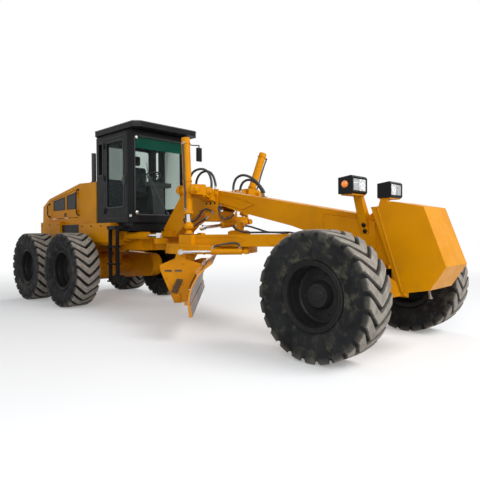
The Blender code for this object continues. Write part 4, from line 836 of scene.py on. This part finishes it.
# ---- hydraulic hoses ----
def hose(name, body, radius, points, frame_of=Matrix()):
    """A stiff hose along points given in a frame of the linkage, with a crimped fitting at each end."""
    line = smoothed([frame_of @ Vector(p) for p in points], 3)
    made = piece(name, Form().tube(line, radius, 12, rounds=0), "hose", body, "black")
    ends, nut, sleeve = Form(), radius * 1.5, radius * 1.15
    for tip, inward in ((line[0], line[1] - line[0]), (line[-1], line[-2] - line[-1])):
        ends.boss([(-0.004, nut), (0.014, nut), (0.016, sleeve), (0.05, sleeve)], 6, tip, inward)
    fit = piece(name + "_fittings", ends, "zinc", body, "chrome")


for name, points in (
        ("a", [(0.20, -0.16, 2.09), (0.20, -0.17, 2.20), (0.30, -0.18, 2.32), (0.52, -0.19, 2.35),
               (0.70, -0.20, 2.28), (0.78, -0.205, 2.12), (0.76, -0.205, 1.98), (0.80, -0.20, 1.885),
               (0.90, -0.192, 1.86)]),
        ("b", [(0.24, -0.06, 2.08), (0.25, -0.06, 2.20), (0.36, -0.07, 2.30), (0.55, -0.09, 2.32),
               (0.70, -0.11, 2.24), (0.78, -0.13, 2.10), (0.80, -0.14, 1.99)]),
        ("c", [(1.06, -0.02, 1.93), (1.06, -0.02, 2.06), (1.12, -0.01, 2.17), (1.26, 0.01, 2.20),
               (1.42, 0.06, 2.12), (1.56, 0.10, 1.96), (1.60, 0.11, 1.85)]),
        ("d", [(1.12, 0.07, 1.92), (1.12, 0.07, 2.02), (1.18, 0.08, 2.11), (1.30, 0.09, 2.13),
               (1.44, 0.10, 2.06), (1.52, 0.11, 1.95), (1.54, 0.12, 1.86)])):
    hose("boom_hose_" + name, "front_frame", BOOM_HOSE, points)


# ---- linkage details ----
def seat(node, origin, direction):
    """Where a straight line meets a CAD node, and the surface's normal there."""
    found, place, normal, _ = NODES[node].ray_cast(Vector(origin), Vector(direction).normalized())
    return (place, normal) if found else (None, None)


def blade_fixings(f):
    """Two rows of plough bolts through the cutting edge."""
    back = CIRCLE.to_3x3() @ Vector((-1, 0, 0))
    for k in range(14):
        for z in (0.345, 0.395):
            place, normal = seat("moldboard", CIRCLE @ Vector((0.6, -1.62 + 0.238 * k, z)), back)
            if place:
                f.boss([(-0.004, 0.014), (0.003, 0.014), (0.005, 0.010)], 10, place, normal)


solid("cutting_edge_bolts", "blade", "yellow", "steel", blade_fixings)


def ring_teeth(f):
    for a in ring_angles(84):
        turned = CIRCLE @ Matrix.Rotation(a, 4, "Z")
        f.plate([(0.575, -0.007), (0.606, -0.016), (0.606, 0.016), (0.575, 0.007)], "Z", 1.03, 1.11, turned)
    for a in ring_angles(24, math.pi / 24):
        f.bolt(CIRCLE @ Vector((0.66 * math.cos(a), 0.66 * math.sin(a), 1.020)), (0, 0, -1), 0.012)


solid("circle_teeth", "circle", "yellow", "grease", ring_teeth)


def drawbar_welds(f):
    for sign in SIDES.values():
        def side_point(share, z):
            return DRAWBAR @ Vector((-0.20 - 1.65 * share, sign * (0.121 + 0.5 * share), z))
        for outline in (((0.98, 1.165), (0.55, 1.165), (0.47, 1.215), (0.55, 1.265), (0.98, 1.265)),
                        ((0.10, 1.15), (0.24, 1.15), (0.30, 1.215), (0.24, 1.28), (0.10, 1.28))):
            weld(f, [side_point(share, z) for share, z in outline], 0.005)
    for x in (-1.60, -1.50, -1.20, -1.10):
        for y in (-0.30, 0.30):
            f.bolt(DRAWBAR @ Vector((x, y, 1.24)), UP, 0.014)


solid("drawbar_welds", "drawbar", "yellow", "yellow", drawbar_welds)


def drive_dress(f):
    """Bolts and ports of the motor that turns the circle."""
    x = 0.57 - DRAWBAR_LENGTH
    for a in ring_angles(8, math.pi / 8):
        f.bolt(DRAWBAR @ Vector((x + 0.145 * math.cos(a), 0.145 * math.sin(a), 1.34)), UP, 0.011)
    for s in (-1, 1):
        f.rod(DRAWBAR @ Vector((x, s * 0.06, 1.42)), DRAWBAR @ Vector((x, s * 0.105, 1.42)), 0.018, 12)
    f.boss([(0, 0.055), (0.010, 0.055), (0.016, 0.04)], 20, DRAWBAR @ Vector((x, 0, 1.47)), UP)


solid("circle_drive_dressed", "drawbar", "yellow", "yellow", drive_dress)


def bracket_slots(f):
    # The two slots are thin plates of dark greasy steel laid on the face: painted shade inside the slots. The
    # toothed ridges below are real greasy steel.
    for x, z in ((-0.58, 0.80), (-0.44, 0.80)):
        f.plate(rectangle(x - 0.05, x + 0.05, z - 0.012, z + 0.012), "Y", BRACKET_FACE - 0.0035, BRACKET_FACE,
                CIRCLE)
    for k in range(9):
        x, z = -0.50 + 0.010 * k, 0.50 + 0.022 * k
        f.plate([(x - 0.045, z), (x + 0.045, z - 0.012), (x + 0.045, z), (x - 0.045, z + 0.012)], "Y",
                BRACKET_FACE - 0.0225, BRACKET_FACE, CIRCLE)


def bracket_dress(f):
    out = CIRCLE.to_3x3() @ Vector((0, -1, 0))
    for x, z in ((-0.36, 0.90), (-0.60, 0.70), (-0.42, 0.47), (-0.38, 0.62), (-0.53, 0.60)):
        f.bolt(CIRCLE @ Vector((x, -0.825, z)), out, 0.015)
    f.boss([(0, 0.055), (0.020, 0.055), (0.028, 0.045), (0.028, 0.025), (0.034, 0.022)], 28,
           CIRCLE @ Vector((-0.46, -0.825, 0.42)), out)


solid("bracket_slots", "tilt_bracket", "black", "grease", bracket_slots)
solid("bracket_bolts", "tilt_bracket", "yellow", "yellow", bracket_dress)

for side, sign in SIDES.items():
    barrel = f"lift_cylinder_{side}_barrel"
    stud = DRAWBAR @ Vector(on_side((*LIFT_STUD, 0), sign))
    eye = Vector((stud.x, stud.y, LIFT_EYE_Z))
    along = (Vector(on_side(LIFT_PIN, sign)) - eye).normalized()
    barrel_low, barrel_high = (corner[2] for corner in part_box(barrel))
    mouth = eye + along * ((barrel_low + 0.012 - eye.z) / along.z)
    crown = eye + along * ((barrel_high - 0.012 - eye.z) / along.z)

    def bands(f):
        f.lathe([(-0.004, 0.060), (-0.004, 0.074), (0.030, 0.074), (0.036, 0.066), (0.050, 0.066),
                 (0.054, 0.060)], 28, aim(mouth, along), ring=True)
        for share in (0.42, 0.92):
            p = mouth.lerp(crown, share)
            f.lathe([(0, 0.060), (0, 0.0715), (0.022, 0.0715), (0.022, 0.060)], 28, aim(p, along), ring=True)
        for a in ring_angles(6):
            turn = aim(mouth, along) @ Matrix.Rotation(a, 4, "Z")
            f.bolt(turn @ Vector((0.066, 0, 0.035)), turn.to_3x3() @ Vector((1, 0, 0)), 0.006)

    def socket(f):
        f.boss([(-0.050, 0.040), (-0.036, 0.058), (-0.012, 0.068), (0.014, 0.068), (0.036, 0.058),
                (0.046, 0.044), (0.060, 0.040)], 28, eye, along)
        for a in ring_angles(4, 0.5):
            f.bolt(eye + Vector((0.052 * math.cos(a), 0.052 * math.sin(a), 0.030)), UP, 0.008)

    def boot(f):
        profile = [(0, 0), (0, 0.072)]
        for k in range(3):
            profile += [(0.010 + 0.020 * k, 0.070 - 0.003 * k), (0.020 + 0.020 * k, 0.058 - 0.003 * k)]
        f.lathe(profile + [(0.070, 0.050), (0.070, 0)], 28, aim((eye.x, eye.y, 1.255), UP))
    solid("lift_bands_" + side, barrel, "yellow", "yellow", bands)
    solid("lift_socket_" + side, f"lift_cylinder_{side}_rod", "yellow", "yellow", socket)
    solid("lift_stud_boot_" + side, "drawbar", "rubber", "seal", boot)
    out = Vector((0.4, sign * 0.9, 0)).normalized()
    line = [crown - along * fall + out * w for fall, w in ((0.07, 0.062), (0.09, 0.10), (0.20, 0.092))]
    middle = ((0.62, 0.088), (0.45, 0.100), (0.30, 0.086), (0.16, 0.095))
    line += [mouth.lerp(crown, share) + out * w for share, w in middle]
    line += [mouth + along * rise + out * w for rise, w in ((0.07, 0.098), (0.045, 0.062))]
    hose("lift_hose_" + side, barrel, CYLINDER_HOSE, line)


def saddle_front(f):
    for sign in SIDES.values():
        place = (0.868, sign * 0.37, 1.935)
        f.boss([(0, 0.085), (0.022, 0.085), (0.030, 0.076), (0.030, 0.050), (0.042, 0.046), (0.046, 0.038)],
               32, place, (1, 0, 0))
        f.bolt((0.912, sign * 0.37, 1.935), (1, 0, 0), 0.026)
        for a in ring_angles(6):
            f.bolt((0.892, sign * 0.37 + 0.066 * math.cos(a), 1.935 + 0.066 * math.sin(a)), (1, 0, 0), 0.007)


# Thin black discs over the lock holes: painted shade inside the holes.
def lock_hole_shades(f):
    for k in range(3):
        f.boss([(0, 0.021), (0.0025, 0.021)], 20, (0.9105, -0.12 + 0.12 * k, 1.56), (1, 0, 0))
        f.boss([(0, 0.019), (0.0025, 0.019)], 20, (0.665 + 0.095 * k, -0.2180, 1.78), (0, -1, 0))


solid("saddle_front_bosses", "front_frame", "yellow", "yellow", saddle_front)
solid("saddle_lock_holes", "front_frame", "black", "black", lock_hole_shades)

for name, points in (
        ("a", [(0.18, -0.180, 1.64), (0.19, -0.25, 1.62), (0.28, -0.29, 1.53), (0.42, -0.29, 1.50),
               (0.55, -0.29, 1.56), (0.62, -0.285, 1.66), (0.72, -0.28, 1.70), (0.82, -0.26, 1.66),
               (0.83, -0.222, 1.62)]),
        ("b", [(0.10, -0.180, 1.58), (0.11, -0.23, 1.55), (0.22, -0.26, 1.45), (0.38, -0.27, 1.42),
               (0.52, -0.27, 1.47), (0.62, -0.26, 1.53), (0.70, -0.24, 1.55), (0.71, -0.222, 1.57)]),
        ("c", [(0.96, -0.190, 1.74), (0.98, -0.26, 1.72), (1.03, -0.29, 1.62), (1.06, -0.28, 1.55),
               (1.11, -0.24, 1.52), (1.19, -0.18, 1.56), (1.22, -0.14, 1.645)])):
    hose("saddle_hose_" + name, "front_frame", FRAME_HOSE, points)
for name, points in (
        ("a", [(-1.38, -0.075, 1.42), (-1.36, -0.17, 1.43), (-1.24, -0.26, 1.38), (-1.05, -0.30, 1.325),
               (-0.80, -0.24, 1.325), (-0.55, -0.16, 1.325), (-0.42, -0.10, 1.30), (-0.38, -0.08, 1.245)]),
        ("b", [(-1.38, 0.075, 1.42), (-1.36, 0.17, 1.43), (-1.22, 0.25, 1.38), (-1.05, 0.28, 1.325),
               (-0.80, 0.22, 1.325), (-0.55, 0.14, 1.325), (-0.42, 0.08, 1.30), (-0.38, 0.06, 1.245)])):
    hose("drawbar_hose_" + name, "drawbar", FRAME_HOSE, points, DRAWBAR)
hose("pitch_hose", "pitch_cylinder_barrel", CYLINDER_HOSE,
     [(0.42, -0.88, 1.104), (0.42, -0.885, 1.15), (0.36, -0.895, 1.19), (0.22, -0.90, 1.17),
      (0.11, -0.895, 1.15), (0.05, -0.885, 1.13), (0.04, -0.88, 1.098)], CIRCLE)


# ---- floor, light and camera ----
def floor_material():
    """A pale floor that keeps the object's shadow and runs out to the white of the background."""
    s = Shader("pale_floor")
    s.set(Base_Color=(0.88, 0.88, 0.88), Roughness=0.95, Specular_IOR_Level=0.1)
    away = s.node("VectorMath", operation="LENGTH")
    s.feed(away.inputs[0], s.coords())
    white = s.node("Emission")
    white.inputs["Strength"].default_value = 1.0
    mix = s.node("MixShader")
    seen = s.node("LightPath").outputs["Is Camera Ray"]
    s.feed(mix.inputs[0], s.maths("MULTIPLY", seen, s.ramp(away.outputs["Value"], 4.5, 12.0, 0.25, 1.0)))
    s.feed(mix.inputs[1], s.main.outputs[0])
    s.feed(mix.inputs[2], white.outputs[0])
    s.feed(s.tree.nodes["Material Output"].inputs["Surface"], mix.outputs[0])
    return s.material


FAR, FLOOR_Z = 60, -0.002
mesh = bpy.data.meshes.new("floor")
mesh.from_pydata([(x, y, FLOOR_Z) for x, y in rectangle(-FAR, FAR, -FAR, FAR)], [], [(0, 1, 2, 3)])
mesh.materials.append(floor_material())
floor = bpy.data.objects.new("floor", mesh)
bpy.context.scene.collection.objects.link(floor)

world = bpy.data.worlds.new("studio")
bpy.context.scene.world = world
world.use_nodes = True
tree = world.node_tree
back = tree.nodes["Background"]
back.inputs["Color"].default_value = (0.93, 0.96, 1.0, 1.0)
back.inputs["Strength"].default_value = 0.45
plain_white = tree.nodes.new("ShaderNodeBackground")
plain_white.inputs["Color"].default_value = (1.0, 1.0, 1.0, 1.0)
plain_white.inputs["Strength"].default_value = 1.0
path = tree.nodes.new("ShaderNodeLightPath")
in_sight = path.outputs["Is Camera Ray"]
for ray in ("Is Transmission Ray", "Is Glossy Ray"):
    either = tree.nodes.new("ShaderNodeMath")
    either.operation = "MAXIMUM"
    tree.links.new(in_sight, either.inputs[0])
    tree.links.new(path.outputs[ray], either.inputs[1])
    in_sight = either.outputs[0]
chosen = tree.nodes.new("ShaderNodeMixShader")
tree.links.new(in_sight, chosen.inputs[0])
tree.links.new(back.outputs[0], chosen.inputs[1])
tree.links.new(plain_white.outputs[0], chosen.inputs[2])
tree.links.new(chosen.outputs[0], tree.nodes["World Output"].inputs["Surface"])

for name, place, aim_at, size, power in (
        ("key", (11.0, 2.0, 9.0), (0.5, 0.0, 1.2), 6.0, 1150.0),
        ("fill", (7.0, -8.5, 5.0), (1.5, 0.0, 1.2), 5.0, 420.0),
        ("rim", (-9.0, 7.0, 8.0), (0.0, 0.0, 1.5), 5.0, 450.0)):
    lamp = bpy.data.lights.new(name, "AREA")
    lamp.energy, lamp.size = power, size
    made = bpy.data.objects.new(name, lamp)
    bpy.context.scene.collection.objects.link(made)
    made.location = place
    made.rotation_euler = (Vector(aim_at) - Vector(place)).to_track_quat("-Z", "Y").to_euler()

# The camera that was fitted to the photo's wheels
YAW, PITCH, ROLL = 0.7655, -0.0136, -0.0072
CAMERA_PLACE = (6.0776, -5.1022, 1.3098)
ahead = Vector((-math.sin(YAW) * math.cos(PITCH), math.cos(YAW) * math.cos(PITCH), math.sin(PITCH)))
level = ahead.cross(UP).normalized()
above = level.cross(ahead)
right = math.cos(ROLL) * level + math.sin(ROLL) * above
top = math.cos(ROLL) * above - math.sin(ROLL) * level
lens_data = bpy.data.cameras.new("camera")
lens_data.lens, lens_data.sensor_width = 35.0, 36.0
camera = bpy.data.objects.new("camera", lens_data)
bpy.context.scene.collection.objects.link(camera)
turn = Matrix((right, top, -ahead)).transposed().to_4x4()
camera.matrix_world = Matrix.Translation(CAMERA_PLACE) @ turn
bpy.context.scene.camera = camera
bpy.context.scene.view_settings.view_transform = "Standard"
